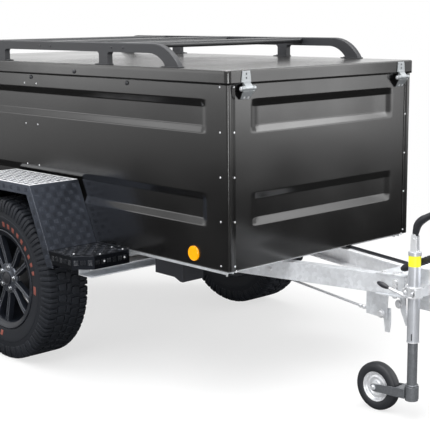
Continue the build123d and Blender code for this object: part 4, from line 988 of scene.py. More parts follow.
plate = {
    "cell": 0.0305, "bars": 5, "pitch": 0.0048, "length": 0.0215, "width": 0.0022, "height": 0.0008,
    "foot": (0.421, 0.503), "fold": (0.258, 0.857), "inner": 0.5875, "outer": 0.850, "lip": 0.045,
    "stepTop": 0.579, "stepLow": 0.520, "stepFront": 0.626, "stepBack": 0.392,
    "cornerY": 0.776, "chamferX": 0.560,
    "rivet": (0.0052, 0.0026), "stepRivets": ((0.524, 0.810), (0.606, 0.730), (0.527, 0.602), (0.596, 0.596)),
    "stepFrontRivets": ((0.722, 0.550), (0.610, 0.550)),
}


def barShell():
    # one raised bar: a long six-sided foot under a narrower crown
    outline = np.array([(-1, 0), (-0.84, -1), (0.84, -1), (1, 0), (0.84, 1), (-0.84, 1)])
    foot = outline * (plate["length"] / 2, plate["width"] / 2)
    crown = foot * (0.9, 0.45)
    points = np.concatenate([
        np.column_stack([foot, np.full(6, -0.0003)]), np.column_stack([crown, np.full(6, plate["height"])]),
    ])
    faces = gridQuads(2, 6, False, True).tolist() + [[5, 4, 3, 2, 1, 0], [6, 7, 8, 9, 10, 11]]
    return outward(points, faces)


def barField(corner, alongU, alongV, normal, size, keep=None):
    # places and axes of short bars side by side in every cell of a sheet, turned square in every other cell
    cell, bars, count = plate["cell"], plate["bars"], [max(1, int(s // plate["cell"])) for s in size]
    step = np.arange(bars) - bars // 2
    i, j, k = np.meshgrid(np.arange(count[0]), np.arange(count[1]), step, indexing="ij")
    crossed = ((i + j) % 2 == 1).ravel()
    i, j, k = i.ravel(), j.ravel(), k.ravel()
    middleU = (size[0] - count[0] * cell) / 2 + (i + 0.5) * cell
    middleV = (size[1] - count[1] * cell) / 2 + (j + 0.5) * cell
    u = middleU + np.where(crossed, k * plate["pitch"], 0)
    v = middleV + np.where(crossed, 0, k * plate["pitch"])
    alongU, alongV = (np.array(a, float) / np.linalg.norm(a) for a in (alongU, alongV))
    normal = np.array(normal, float) / np.linalg.norm(normal)
    places = np.array(corner) + u[:, None] * alongU + v[:, None] * alongV
    x = np.where(crossed[:, None], alongV, alongU)
    axes = np.stack([x, np.cross(normal, x), np.broadcast_to(normal, x.shape)], 1)
    wanted = np.ones(len(u), bool) if keep is None else keep(middleU, middleV)
    return places[wanted], axes[wanted]


def makeFenderPlates():
    # bars on the top, on both slants and along the lip of each, the rear slant a mirror of the front one
    (footX, footZ), (foldX, topZ) = plate["foot"], plate["fold"]
    run = np.array([footX - foldX, 0, footZ - topZ])
    slant = np.linalg.norm(run)
    down = run / slant
    square = np.array([-down[2], 0, down[0]])
    inner, outer, lip = plate["inner"], plate["outer"], plate["lip"]
    width = outer - inner
    for hand, side in sides:
        across, outY = (0, side, 0), side * outer
        fields = [
            barField((fore(-foldX), side * inner, topZ), (1, 0, 0), across, (0, 0, 1), (2 * foldX, width)),
            barField((fore(-foldX), outY, topZ), (1, 0, 0), (0, 0, -1), across, (2 * foldX, lip)),
        ]
        for end in (1, -1):
            slope, up, x = down * (end, 1, 1), square * (end, 1, 1), fore(end * foldX)
            fields.append(barField((x, side * inner, topZ), slope, across, up, (slant, width)))
            fields.append(barField((x, outY, topZ), slope, -up, across, (slant, lip)))
        places, axes = (np.concatenate(part) for part in zip(*fields))
        addPiece(f"fender_{hand}_bars", scatter(barShell(), places, axes), "treadBars", sharp=20)


def makeStepPlates():
    # bars on the top of each step and round its edge: the front, the chamfered corner and the outer side
    top, front, back = plate["stepTop"], plate["stepFront"], plate["stepBack"]
    tall = top - plate["stepLow"]
    cornerY, chamferX, outer, inner = plate["cornerY"], plate["chamferX"], plate["outer"], plate["inner"]
    chamferRun, chamferWidth = front - chamferX, outer - cornerY
    down = (0, 0, -1)

    def inside(u, v):
        # true where a cell's middle is on the near side of the chamfer's line
        return (u + back - chamferX) / chamferRun + (v + inner - cornerY) / chamferWidth < 0.82

    fields, rivets, normals = [], [], []
    for side in (-1, 1):
        across = (0, side, 0)
        fields += [
            barField((fore(back), side * inner, top), (1, 0, 0), across, (0, 0, 1),
                     (front - back, outer - inner), inside),
            barField((fore(front), side * inner, top), across, down, (1, 0, 0), (cornerY - inner, tall)),
            barField((fore(front), side * cornerY, top), (-chamferRun, side * chamferWidth, 0), down,
                     (chamferWidth, side * chamferRun, 0), (math.hypot(chamferRun, chamferWidth), tall)),
            barField((fore(chamferX), side * outer, top), (-1, 0, 0), down, across,
                     (chamferX - back - 0.012, tall)),
        ]
        rivets += [(fore(x), side * y, top) for x, y in plate["stepRivets"]]
        rivets += [(fore(front), side * y, z) for y, z in plate["stepFrontRivets"]]
        normals += [(0, 0, 1)] * len(plate["stepRivets"]) + [(1, 0, 0)] * len(plate["stepFrontRivets"])
    places, axes = (np.concatenate(part) for part in zip(*fields))
    addPiece("stepBars", scatter(barShell(), places, axes), "darkBars", sharp=20)
    addScatter("stepRivets", domeShell(*plate["rivet"]), rivets, normals, "brightZinc")


makeFenderPlates()
makeStepPlates()
print("checker plate made")


# Drawbar and overrun unit

drawbar = {
    "beamY": 0.490, "slope": 0.23,
    "webBolt": (0.017, 0.009, 0.0145), "plateBolt": (0.018, 0.009, 0.014),
    "housingBolt": (0.021, 0.010, 0.016), "railNut": (0.013, 0.007, 0.011),
    "webBolts": ((1.148, 0.5155), (0.980, 0.5155), (0.720, 0.5155), (1.722, 0.504), (1.722, 0.520),
                 (1.722, 0.536)),
    "topBolts": ((1.664, 0.097), (1.716, 0.088), (1.723, 0.064), (1.782, 0.036)), "topLevels": (0.567, 0.476),
    "housingBolts": ((1.815, 0.520), (1.865, 0.520), (1.985, 0.520), (2.030, 0.520)), "housingY": 0.066,
    "railNuts": (-1.03, -0.70, -0.35, 0.06, 0.56, 0.90), "railY": 0.545, "railZ": 0.592,
    # bellows: start, end, height, radii of the creases and of the ridges, inner radius, number of ridges
    "bellows": (2.060, 2.150, 0.560, 0.0305, 0.0425, 0.0255, 5),
    "couplingBolts": ((2.172, 0.0385, 0.560), (2.195, 0.0385, 0.572)),
    "gauge": (2.290, -0.0445, 0.564), "gaugeHalf": (0.011, 0.006), "gaugeProud": 0.0012,
}


def makeDrawbarBolts():
    # bolts square to the beams' webs, through the plates above and below, and along the housing
    slope = drawbar["slope"]
    places, normals = [], []
    for side in (-1, 1):
        for x, z in drawbar["webBolts"]:
            places.append((fore(x), side * (drawbar["beamY"] - slope * x), z))
            normals.append((slope, side, 0))
    addScatter("webBolts", hexShell(*drawbar["webBolt"]), places, normals, "brightZinc")
    high, low = drawbar["topLevels"]
    places = bothSides([(fore(x), y, z) for x, y in drawbar["topBolts"] for z in (high, low)])
    normals = [(0, 0, 1 if z == high else -1) for x, y, z in places]
    addScatter("plateBolts", hexShell(*drawbar["plateBolt"]), places, normals, "brightZinc")
    places = [(fore(x), drawbar["housingY"], z) for x, z in drawbar["housingBolts"]]
    addPairs("housingBolts", hexShell(*drawbar["housingBolt"]), places, "brightZinc")
    places = bothSides([(fore(x), drawbar["railY"], drawbar["railZ"]) for x in drawbar["railNuts"]])
    addScatter("railNuts", hexShell(*drawbar["railNut"]), places, (0, 0, -1), "zinc")


def makeBellows():
    # a sleeve turned round the drawtube: radius swings between its creases and its ridges
    start, end, z, crease, ridge, hollow, ridges = drawbar["bellows"]
    t = np.linspace(0, 1, 61)
    radius = crease + (ridge - crease) * (0.5 - 0.5 * np.cos(t * 2 * ridges * math.pi)) ** 0.8
    x = fore(start) + t * (end - start)
    profile = list(zip(x, radius)) + [(place, hollow) for place in x[::-1]]
    addPiece("bellowsFolds", turned(profile, (0, 0, z), 48, "x"), "softRubber", replaces=("bellows",),
             sharp=60)


def makeCouplingTrim():
    # the coupling's cross bolts and the small red window that shows its wear
    places = [(fore(x), y, z) for x, y, z in drawbar["couplingBolts"]]
    addPairs("couplingBolts", hexShell(*drawbar["plateBolt"]), places, "brightZinc")
    turn = np.linspace(0, 2 * math.pi, 24, endpoint=False)
    window = np.column_stack([np.cos(turn), np.sin(turn)]) * drawbar["gaugeHalf"]
    x, y, z = drawbar["gauge"]
    shell = scatter(prism(window, 0, drawbar["gaugeProud"]), [(fore(x), y, z)], facing([(0, -1, 0)]))
    addPiece("couplingGauge", shell, "redLens")


brake = {
    "rodFront": (1.557, -0.058, 0.388), "rodRear": (0.150, 0.031, 0.507), "rodNut": (0.016, 0.010),
    # how far the nuts stand from the rod's ends
    "frontNuts": (0.030, 0.050), "rearNuts": (0.020, 0.032),
    "leverBolt": (0.024, 0.010, 0.019), "leverBolts": ((1.642, -0.083, 0.388), (1.700, -0.039, 0.430)),
}


def makeBrakeTrim():
    # adjusting nuts in line with the brake rod near both its ends, and the bolts of its lever and bracket
    front, rear = (np.array([fore(x), y, z]) for x, y, z in (brake["rodFront"], brake["rodRear"]))
    line = (front - rear) / np.linalg.norm(front - rear)
    places = [front - line * step for step in brake["frontNuts"]]
    places += [rear + line * step for step in brake["rearNuts"]]
    addScatter("rodNuts", hexShell(*brake["rodNut"]), places, line, "brightZinc")
    places = [(fore(x), y, z) for x, y, z in brake["leverBolts"]]
    addScatter("leverBolts", hexShell(*brake["leverBolt"]), places, (0, -1, 0), "brightZinc")


makeDrawbarBolts()
makeBellows()
makeCouplingTrim()
makeBrakeTrim()
print("drawbar made")


# Jockey wheel and its clamp

jockey = {
    "x": 1.845, "y": -0.135, "outer": 0.024, "band": (0.629, 0.673), "bandProud": 0.0004,
    "collars": (0.321, 0.546, 0.672), "collarTall": 0.0035, "collarProud": 0.0016,
    # low and high end, degrees round the tube, half width
    "slot": (0.332, 0.360, -68, 0.0022),
    # tyre and disc: place along the little axle and radius, over the left half
    "tyre": ((-0.0180, 0.0625), (-0.0215, 0.0640), (-0.0235, 0.0665), (-0.0240, 0.0690), (-0.0248, 0.0720),
             (-0.0250, 0.0800), (-0.0238, 0.0880), (-0.0205, 0.0945), (-0.0150, 0.0985), (-0.0075, 0.0998),
             (0.0, 0.1000)),
    "disc": ((-0.0195, 0.0622), (-0.0215, 0.0618), (-0.0205, 0.0575), (-0.0170, 0.0555), (-0.0110, 0.0530),
             (-0.0085, 0.0490), (-0.0088, 0.0450), (-0.0120, 0.0420), (-0.0125, 0.0380), (-0.0090, 0.0345),
             (-0.0075, 0.0270), (-0.0105, 0.0215), (-0.0160, 0.0190), (-0.0255, 0.0178), (-0.0260, 0.0165),
             (-0.0260, 0.0062)),
    "wheelX": 1.677, "wheelZ": 0.100, "rivet": (0.0032, 0.0016), "rivetCircle": 0.0465, "rivetY": 0.0086,
    "axleNut": (0.017, 0.009, 0.012), "axleNutY": 0.034,
}


def makeJockeyTube():
    # a yellow band and three collars, each a rectangle turned round the tube, and a slot with round ends,
    # drawn as a dark sheet of painted shade
    centre, r = (fore(jockey["x"]), jockey["y"], 0), jockey["outer"]

    def hoop(low, high, inside, proud):
        # from just inside the tube's skin to just outside it
        return turned(oblong(low, r - inside, high, r + proud), centre, 40, "z")

    low, high = jockey["band"]
    addPiece("labelBand", hoop(low, high, jockey["bandProud"], jockey["bandProud"]), "labelYellow")
    rings = [hoop(z, z + jockey["collarTall"], 0.001, jockey["collarProud"]) for z in jockey["collars"]]
    addPiece("tubeCollars", joinShells(rings), "brightZinc")
    low, high, degrees, half = jockey["slot"]
    turn = math.radians(degrees)
    normal = np.array([math.cos(turn), math.sin(turn), 0])
    t = np.linspace(0, math.pi, 9)
    reach = (high - low) / 2 - half
    upper = np.column_stack([half * np.cos(t), reach + half * np.sin(t)])
    place = np.array(centre) + normal * (r - 0.0003) + (0, 0, (low + high) / 2)
    shell = scatter(prism(np.concatenate([upper, -upper]), 0, 0.0005), [place], facing([normal]))
    # painted shade: a dark sheet where the slot opens into the tube
    addPiece("tubeSlot", shell, "softRubber", slot="zinc")


crank = {
    # the grip's line from the tube's centre and its height, and the yoke's outline and plates
    "grip": ((-0.001, 0.752), (0.012, 0.806), (0.090, 0.850)), "gripRadius": 0.0148,
    "yoke": ((-0.015, 0.686), (0.015, 0.686), (0.013, 0.748), (0.006, 0.758), (-0.008, 0.758),
             (-0.013, 0.748)),
    "plateY": (0.012, 0.0095), "base": (0.013, 0.0105, 0.686, 0.692), "pin": (0.016, 0.0045, 0.738),
}


def makeCrank():
    # a curved grip that thickens by a half sine to its middle, on a folded yoke with a cross pin
    x, y = fore(jockey["x"]), jockey["y"]
    path = curve([(x + along, y, z) for along, z in crank["grip"]], 22, 0.42)
    t = np.linspace(0, 1, len(path))
    radius = crank["gripRadius"] + 0.0012 * np.sin(t * math.pi)
    radius = radius - 0.004 * smoothStep(t, 0.94, 1.0) - 0.003 * (1 - smoothStep(t, 0, 0.05))
    addPiece("crankGrip", tube(path, radius, 20), "blackPlastic", replaces=("jockey_crank",), sharp=50)
    flat = [(x + along, z) for along, z in crank["yoke"]]
    outer, inner = crank["plateY"]
    shells = [prism(flat, y + side * outer, y + side * inner, "y") for side in (-1, 1)]
    halfX, halfY, low, high = crank["base"]
    shells.append(prism(oblong(x - halfX, y - halfY, x + halfX, y + halfY), low, high))
    half, r, z = crank["pin"]
    shells.append(turned([(-half, 0.0005), (-half, r), (half, r), (half, 0.0005)], (x, y, z), 16))
    addPiece("crankYoke", joinShells(shells), "brightZinc", replaces=("jockey_crank",), bevel=0.0008)


clamp = {
    "grip": ((1.690, -0.169, 0.5435), (1.750, -0.169, 0.529)), "screw": (1.832, -0.169, 0.5105),
    "collar": (1.800, -0.169, 0.5175), "screwRadius": 0.0055, "collarRadius": 0.0085,
    # low and high edge, inner and outer radius
    "sleeve": (0.505, 0.545, 0.0241, 0.032),
    "hoops": ((0.503, 0.509), (0.541, 0.547)), "hoopRadii": (0.0245, 0.0345), "block": (0.028, 0.030, 0.069),
    "cheekX": (0.0315, 0.0225), "cheekY": (-0.036, 0.034), "cheekZ": (0.509, 0.541),
    "nuts": ((-0.018, -0.0345), (0.018, -0.0345)), "nutZ": 0.525, "nut": (0.013, 0.008, 0.011),
}


def makeClampGrip():
    # an oval grip on the clamp's screw handle, its radius following a half sine
    start, end, screw, collar = (np.array([fore(x), y, z]) for x, y, z in (*clamp["grip"], clamp["screw"],
                                                                           clamp["collar"]))
    t = np.linspace(0, 1, 21)
    radius = 0.0035 + 0.0075 * np.sin(np.clip(t * 1.06, 0, 1) * math.pi) ** 0.6
    path = start * (1 - t[:, None]) + end * t[:, None]
    addPiece("clampGrip", tube(path, radius, 16), "blackPlastic", sharp=60)
    handle = [tube([end, screw], clamp["screwRadius"]), tube([collar, screw], clamp["collarRadius"])]
    addPiece("clampHandle", joinShells(handle), "brightZinc", replaces=("jockey_clamp",))


def makeClampBody():
    # a sleeve with a hoop at each end turned round the tube, between two cheeks, on a block at the beam
    x, y = fore(jockey["x"]), jockey["y"]
    low, high, near, far = clamp["sleeve"]
    nearY, farY = clamp["cheekY"]
    outX, inX = clamp["cheekX"]
    shells = [turned([(low, near), (low, far), (high, far), (high, near)], (x, y, 0), 48, "z")]
    halfX, blockY, blockFar = clamp["block"]
    shells.append(prism(oblong(x - halfX, y + blockY, x + halfX, y + blockFar), low, high))
    for s in (-1, 1):
        cheek = oblong(x - s * outX, y + nearY, x - s * inX, y + farY)
        shells.append(prism(cheek, *clamp["cheekZ"]))
    near, far = clamp["hoopRadii"]
    for low, high in clamp["hoops"]:
        shells.append(turned([(low, near), (low, far), (high, far), (high, near)], (x, y, 0), 40, "z"))
    addPiece("clampBody", joinShells(shells), "brightZinc", replaces=("jockey_clamp",), bevel=0.0012)
    places = [(x + along, y + across, clamp["nutZ"]) for along, across in clamp["nuts"]]
    addScatter("clampNuts", hexShell(*clamp["nut"]), places, (0, -1, 0), "zinc")


def makeJockeyWheel():
    # smooth solid tyre and a pressed disc, each one profile turned round the little axle
    x, y, z = fore(jockey["wheelX"]), jockey["y"], jockey["wheelZ"]
    tread = turned([*jockey["tyre"], *((-a, r) for a, r in jockey["tyre"][-2::-1])], (x, y, z), 96)
    addPiece("jockeyTyre", tread, "softRubber", "jockey_roller", ("jockey_tyre",), "tyre", sharp=50)
    disc = turned([*jockey["disc"], *((-a, r) for a, r in jockey["disc"][::-1])], (x, y, z), 72)
    addPiece("jockeyDisc", disc, "brightZinc", "jockey_roller", ("jockey_rim",), sharp=50)
    turn = np.radians(np.arange(6) * 60 + 15)
    circle = np.column_stack([np.cos(turn), np.sin(turn)]) * jockey["rivetCircle"] + (x, z)
    places = [(u, y + s * jockey["rivetY"], w) for u, w in circle for s in (-1, 1)]
    addScatter("discRivets", domeShell(*jockey["rivet"]), places, sideways(places, y), "zinc",
               "jockey_roller")
    places = [(x, y + s * jockey["axleNutY"], z) for s in (-1, 1)]
    addScatter("jockeyAxleNuts", hexShell(*jockey["axleNut"]), places, sideways(places, y), "zinc",
               "jockey_swivel")


handbrake = {
    "y": -0.082, "start": (1.745, 0.592), "end": (1.990, 0.705), "radius": 0.0145,
    "ridge": 0.0010, "ridges": 17,
    "blade": ((1.772, 0.530), (1.778, 0.515), (1.790, 0.512), (1.802, 0.515), (1.808, 0.530), (1.829, 0.624),
              (1.792, 0.607)),
    "bladeY": (-0.016, -0.008), "pivot": (1.790, 0.530), "pivotBolt": (0.020, 0.010, 0.016),
}


def makeHandbrakeGrip():
    # a ribbed grip: its radius rises and falls along the lever, with a rounded push button
    y = handbrake["y"]
    start, end = (np.array([fore(x), y, z]) for x, z in (handbrake["start"], handbrake["end"]))
    t = np.linspace(0, 1, 81)
    ridge = handbrake["ridge"] * np.cos(t * 2 * handbrake["ridges"] * math.pi)
    ridge = ridge * smoothStep(t, 0.34, 0.40) * (1 - smoothStep(t, 0.94, 0.97))
    radius = handbrake["radius"] + ridge - 0.005 * (1 - smoothStep(t, 0, 0.05))
    radius = radius - 0.006 * smoothStep(t, 0.97, 1.0)
    path = start + (end - start) * t[:, None]
    addPiece("handbrakeGrip", tube(path, radius, 20), "blackPlastic", replaces=("handbrake_lever",), sharp=60)
    near, far = handbrake["bladeY"]
    blade = prism([(fore(x), z) for x, z in handbrake["blade"]], y + near, y + far, "y")
    addPiece("handbrakeBlade", blade, "zinc", replaces=("handbrake_lever",), bevel=0.001)
    x, z = handbrake["pivot"]
    places = [(fore(x), y + near, z)]
    addScatter("handbrakePivot", hexShell(*handbrake["pivotBolt"]), places, (0, -1, 0), "brightZinc")


makeJockeyTube()
makeCrank()
makeClampGrip()
makeClampBody()
makeJockeyWheel()
makeHandbrakeGrip()
print("jockey wheel made")


# Lid hinges and rack feet

hinge = {
    "x": boxFront + 0.022, "z": 1.314, "y": 0.494, "skirt": boxFront + 0.010, "thick": 0.004,
    "strap": ((-0.0215, 1.383), (0.0215, 1.383), (0.0265, 1.346), (0.0265, 1.338), (-0.0265, 1.338),
              (-0.0265, 1.346)),
    "bend": ((0.010, 1.343), (0.014, 1.343), (0.0315, 1.322), (0.033, 1.314), (0.013, 1.314), (0.012, 1.324)),
    "bendHalf": 0.0195, "leafFoot": (boxFront + 0.0008, 1.272), "leafSlope": (0.60, 0.80),
    "leaf": ((-0.023, 0.0), (0.023, 0.0), (0.031, 0.036), (0.031, 0.044), (-0.031, 0.044), (-0.031, 0.036)),
    "leafBolt": (0.0095, 0.0035), "leafBolts": (-0.011, 0.011), "leafBoltUp": 0.012,
    "knuckle": 0.0108, "bore": 0.0056, "strapHalf": 0.0205, "barrelHalf": 0.038,
    "holes": (1.371, 1.355), "hole": 0.0042,
    # the pin's head: how far out, and radius
    "head": ((0.0, 0.0), (0.0, 0.0072), (0.003, 0.0060), (0.0036, 0.0)),
}


def makeHinges():
    # strap with two holes and a rolled middle knuckle on the lid; sloped leaf and outer knuckles on the wall
    straps, holes, leaves, pins, bolts = [], [], [], [], []
    sx, sz = hinge["leafSlope"]
    axes = np.array([[(0, 1, 0), (sx, 0, sz), (sz, 0, -sx)]])
    half, r, bore, thick = hinge["strapHalf"], hinge["knuckle"], hinge["bore"], hinge["thick"]
    (footX, footZ), up = hinge["leafFoot"], hinge["leafBoltUp"]
    skirt = hinge["skirt"] + thick
    for side in (-1, 1):
        y, pin = side * hinge["y"], (hinge["x"], 0, hinge["z"])
        straps.append(prism([(y + a, z) for a, z in hinge["strap"]], hinge["skirt"], skirt, "x"))
        bend = [(boxFront + a, z) for a, z in hinge["bend"]]
        straps.append(prism(bend, y - hinge["bendHalf"], y + hinge["bendHalf"], "y"))
        straps.append(turned([(y - half, bore), (y - half, r), (y + half, r), (y + half, bore)], pin, 28))
        places = [(skirt, y, z) for z in hinge["holes"]]
        disc = domeShell(hinge["hole"], 0.0004, 2, 16)
        holes.append(scatter(disc, places, facing([(1, 0, 0)] * len(places))))
        for step in (-1, 1):
            near, far = y + step * (half + 0.001), y + step * hinge["barrelHalf"]
            leaves.append(turned([(near, 0.0), (near, r), (far, r), (far, 0.0)], pin, 28))
            pins.append(turned([(far + step * out, radius) for out, radius in hinge["head"]], pin, 20))
        leaves.append(scatter(prism(hinge["leaf"], 0.0, thick), [(footX, y, footZ)], axes))
        x, z = footX + sx * up + sz * thick, footZ + sz * up - sx * thick
        bolts += [(x, y + a, z) for a in hinge["leafBolts"]]
    addPiece("hingeStrap", joinShells(straps), "hingeZinc", "lid", ("hinge_straps",), bevel=0.0008)
    addPiece("hingeHoles", joinShells(holes), "softRubber", "lid", slot="zinc")
    addPiece("hingeLeaf", joinShells(leaves), "hingeZinc", replaces=("hinge_leaves",), bevel=0.0008)
    addPiece("hingePins", joinShells(pins), "brightZinc")
    addScatter("hingeBolts", hexShell(*hinge["leafBolt"]), bolts, (sz, 0, -sx), "zinc")


rack = {
    "middle": fore(0.065), "y": 0.570, "reaches": (0.830, 0.379), "bars": (-0.538, -0.030, 0.508),
    "tab": 0.030, "half": 0.015, "thick": 0.0045, "tabBolt": (0.0062, 0.0036),
    "screw": (0.0058, 0.0024), "screwX": 0.026, "screwY": 0.5675, "screwZ": 1.4825,
}


def makeRackFeet():
    # a tab with a bolt beside every post and foot, and the screws that hold the crossbars
    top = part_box("lid_shell")[1].z
    tabTop, half = top + rack["thick"], rack["half"]
    tabs, bolts = [], []
    for y in (-rack["y"], rack["y"]):
        for end in (-1, 1):
            for reach in rack["reaches"]:
                far, near = rack["middle"] + end * reach, rack["middle"] + end * (reach - rack["tab"])
                tabs.append(prism(oblong(far + end * 0.004, y - half, near, y + half), top - 0.0002, tabTop))
                bolts.append(((far + near) / 2 - end * 0.002, y, tabTop))
    addPiece("rackTabs", joinShells(tabs), "rackPaint", "lid", bevel=0.0008)
    addScatter("rackTabBolts", domeShell(*rack["tabBolt"]), bolts, (0, 0, 1), "blackPlastic", "lid")
    places = bothSides([(rack["middle"] + x + step * rack["screwX"], rack["screwY"], rack["screwZ"])
                        for x in rack["bars"] for step in (-1, 1)])
    addScatter("barScrews", domeShell(*rack["screw"]), places, (0, 0, 1), "blackPlastic", "lid")


makeHinges()
makeRackFeet()
print("lid fittings made")


# Rear lamps, plate, rivets and latches

rear = {
    "lampY": 0.455, "lampZ": 0.530, "lampHalf": 0.110, "lampTall": 0.032, "base": -1.740, "lip": -1.7515,
    "lens": -1.7690,
    # start and end of each lens from the outer end of the lamp, as shares of its length, and its finish
    "lenses": ((0.035, 0.30, "amberLens"), (0.32, 0.68, "redLens"), (0.70, 0.965, "redLens")),
    # the plate's frame: width of its upper, lower and side bars, and how far it reaches in and out
    "frame": (0.006, 0.009, 0.005), "frameDeep": (0.001, 0.0025),
    "plateLamp": (0.20, 0.004, 0.034, 0.009), "plateLampDeep": (0.006, 0.020),
    "gateRivetY": 0.5325, "gateLevels": (0.640, 0.810, 0.980, 1.150),
    "hingeY": (-0.430, 0.0, 0.430), "hingeStep": 0.009, "hingeZ": 0.622, "hingeBolt": (0.0058, 0.0030),
    "latch": (0.505, 1.285, 0.0225, 0.0295, 0.005), "latchDeep": (0.0048, 0.0068),
}


def makeRearLamps():
    # a low housing with rounded corners and its lenses, which narrow towards their faces
    half, tall, z = rear["lampHalf"], rear["lampTall"], rear["lampZ"]
    housings, lenses = [], {"amberLens": [], "redLens": []}
    for side in (-1, 1):
        y = side * rear["lampY"]
        housings.append(prism(roundedBox(y, z, half, tall, 0.006), rear["base"], rear["lip"], "x", 0.985))
        for start, end, colour in rear["lenses"]:
            middle = y + side * half * (1 - start - end)
            outline = roundedBox(middle, z, half * (end - start), tall - 0.004, 0.004)
            lenses[colour].append(prism(outline, rear["lip"] + 0.001, rear["lens"], "x", 0.94))
    addPiece("lampHousings", joinShells(housings), "blackPlastic", replaces=("tail_lights",), bevel=0.001)
    addPiece("lampLensesAmber", joinShells(lenses["amberLens"]), "amberLens", bevel=0.002)
    addPiece("lampLensesRed", joinShells(lenses["redLens"]), "redLens", replaces=("tail_lights",),
             bevel=0.002)


def makePlateFrame():
    # a plain rim round the blank plate, with a lamp on each upper corner
    low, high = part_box("number_plate")
    above, below, beside = rear["frame"]
    inside, outside = rear["frameDeep"]
    bars = [
        oblong(low.y, high.z - above, high.y, high.z), oblong(low.y, low.z, high.y, low.z + below),
        oblong(low.y, low.z, low.y + beside, high.z), oblong(high.y - beside, low.z, high.y, high.z),
    ]
    shells = [prism(bar, low.x + inside, low.x - outside, "x") for bar in bars]
    addPiece("plateFrame", joinShells(shells), "blackPlastic", bevel=0.0006)
    y, lift, halfY, halfZ = rear["plateLamp"]
    inside, outside = rear["plateLampDeep"]
    outlines = [roundedBox(side * y, high.z + lift, halfY, halfZ, 0.004) for side in (-1, 1)]
    shells = [prism(outline, low.x + inside, low.x - outside, "x", 0.9) for outline in outlines]
    addPiece("plateLamps", joinShells(shells), "blackPlastic", bevel=0.001)


def makeRearFasteners():
    # rivets up the gate's edges, the bolts of its hinges, and a low plate with rounded corners at each latch
    places = bothSides([(boxRear - 0.0006, rear["gateRivetY"], z) for z in rear["gateLevels"]])
    addScatter("gateRivets", domeShell(*fasteners["rivet"]), places, (-1, 0, 0), "brightZinc", "tailgate")
    places = [(boxRear - 0.0044, y + step * rear["hingeStep"], rear["hingeZ"]) for y in rear["hingeY"]
              for step in (-1, 1)]
    addScatter("gateHingeBolts", domeShell(*rear["hingeBolt"]), places, (-1, 0, 0), "brightZinc", "tailgate")
    y, z, halfY, halfZ, radius = rear["latch"]
    near, far = rear["latchDeep"]
    shells = [prism(roundedBox(side * y, z, halfY, halfZ, radius), boxRear - near, boxRear - far, "x", 0.95)
              for side in (-1, 1)]
    addPiece("latchPlates", joinShells(shells), "zinc", "tailgate", bevel=0.0005)


makeRearLamps()
makePlateFrame()
makeRearFasteners()
print("rear made")


# Small fittings under the box and behind the wheels

under = {
    "clips": ((0.871, -0.500, 0.542), (0.936, -0.500, 0.541), (1.061, -0.400, 0.515)),
    # half length of a clip and of its bar, the bar's lift, and the radius of each
    "clip": (0.016, 0.0042), "clipBar": (0.012, 0.013, 0.0036),
    "nubs": ((1.262, 0.540765, 0.574), (1.262, -0.540765, 0.574), (0.628, -0.574255, 0.576)),
    "nub": (0.010, 0.0045),
    "reflector": (1.058, 0.630),
    # the reflector's rim: out from the wall, and radius
    "reflectorRim": ((0.0, 0.0296), (0.0, 0.0312), (0.0062, 0.0312), (0.0074, 0.0300), (0.0068, 0.0290)),
    "backplateCircle": 0.078, "backplateDepth": 0.0065, "backplateBolt": (0.013, 0.006),
}


def makeUnderTrim():
    # bright spring clips on the chocks' straps, and screw ends below the walls
    (half, radius), (halfBar, lift, barRadius) = under["clip"], under["clipBar"]
    shells = []
    for x, y, z in under["clips"]:
        shells.append(tube([(fore(x), y, z - half), (fore(x), y, z + half)], radius))
        shells.append(tube([(fore(x) - halfBar, y, z + lift), (fore(x) + halfBar, y, z + lift)], barRadius))
    addPiece("chockClips", joinShells(shells), "brightZinc")
    tall, radius = under["nub"]
    shells = [tube([(fore(x), y, z), (fore(x), y, z + tall)], radius) for x, y, z in under["nubs"]]
    addPiece("wallNubs", joinShells(shells), "brightZinc")


def makeReflectorRims():
    # a narrow moulded rim turned round the middle of each reflector
    x, z = under["reflector"]
    shells = []
    for side in (-1, 1):
        profile = [(side * (halfWidth + 0.0002 + out), radius) for out, radius in under["reflectorRim"]]
        shells.append(turned(profile, (fore(x), 0, z), 48))
    addPiece("reflectorRims", joinShells(shells), "amberLens", sharp=50)


def makeHubTrim():
    # bolts in a circle on the brake backplates, seen from inside the wheels
    turn, circle = np.radians(np.arange(6) * 60 + 20), under["backplateCircle"]
    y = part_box("brake_backplates")[1].y - under["backplateDepth"]
    places = bothSides([(axleX + circle * math.cos(a), y, wheelZ + circle * math.sin(a)) for a in turn])
    inward = -np.array(sideways(places))
    addScatter("backplateBolts", hexShell(*under["backplateBolt"]), places, inward, "zinc")


makeUnderTrim()
makeReflectorRims()
makeHubTrim()
print("small fittings made")


# Floor, light and camera

view = {
    "place": (3.7999, -3.5613, 1.6052), "azimuth": 47.004, "elevation": 10.365, "roll": -0.526, "lens": 92.2,
}
stage = {
    # the near floor's tone for glossy rays is a painted dark reflection, far below the floor's own tone
    "half": 40.0, "floorTone": 0.80, "mirroredFloorShade": 0.035, "skyForSurfaces": 0.50,
    "whiteNear": 0.66, "whiteStart": 1.3, "whiteEnd": 4.2, "mirrorStart": 6.5, "mirrorEnd": 9.6,
}


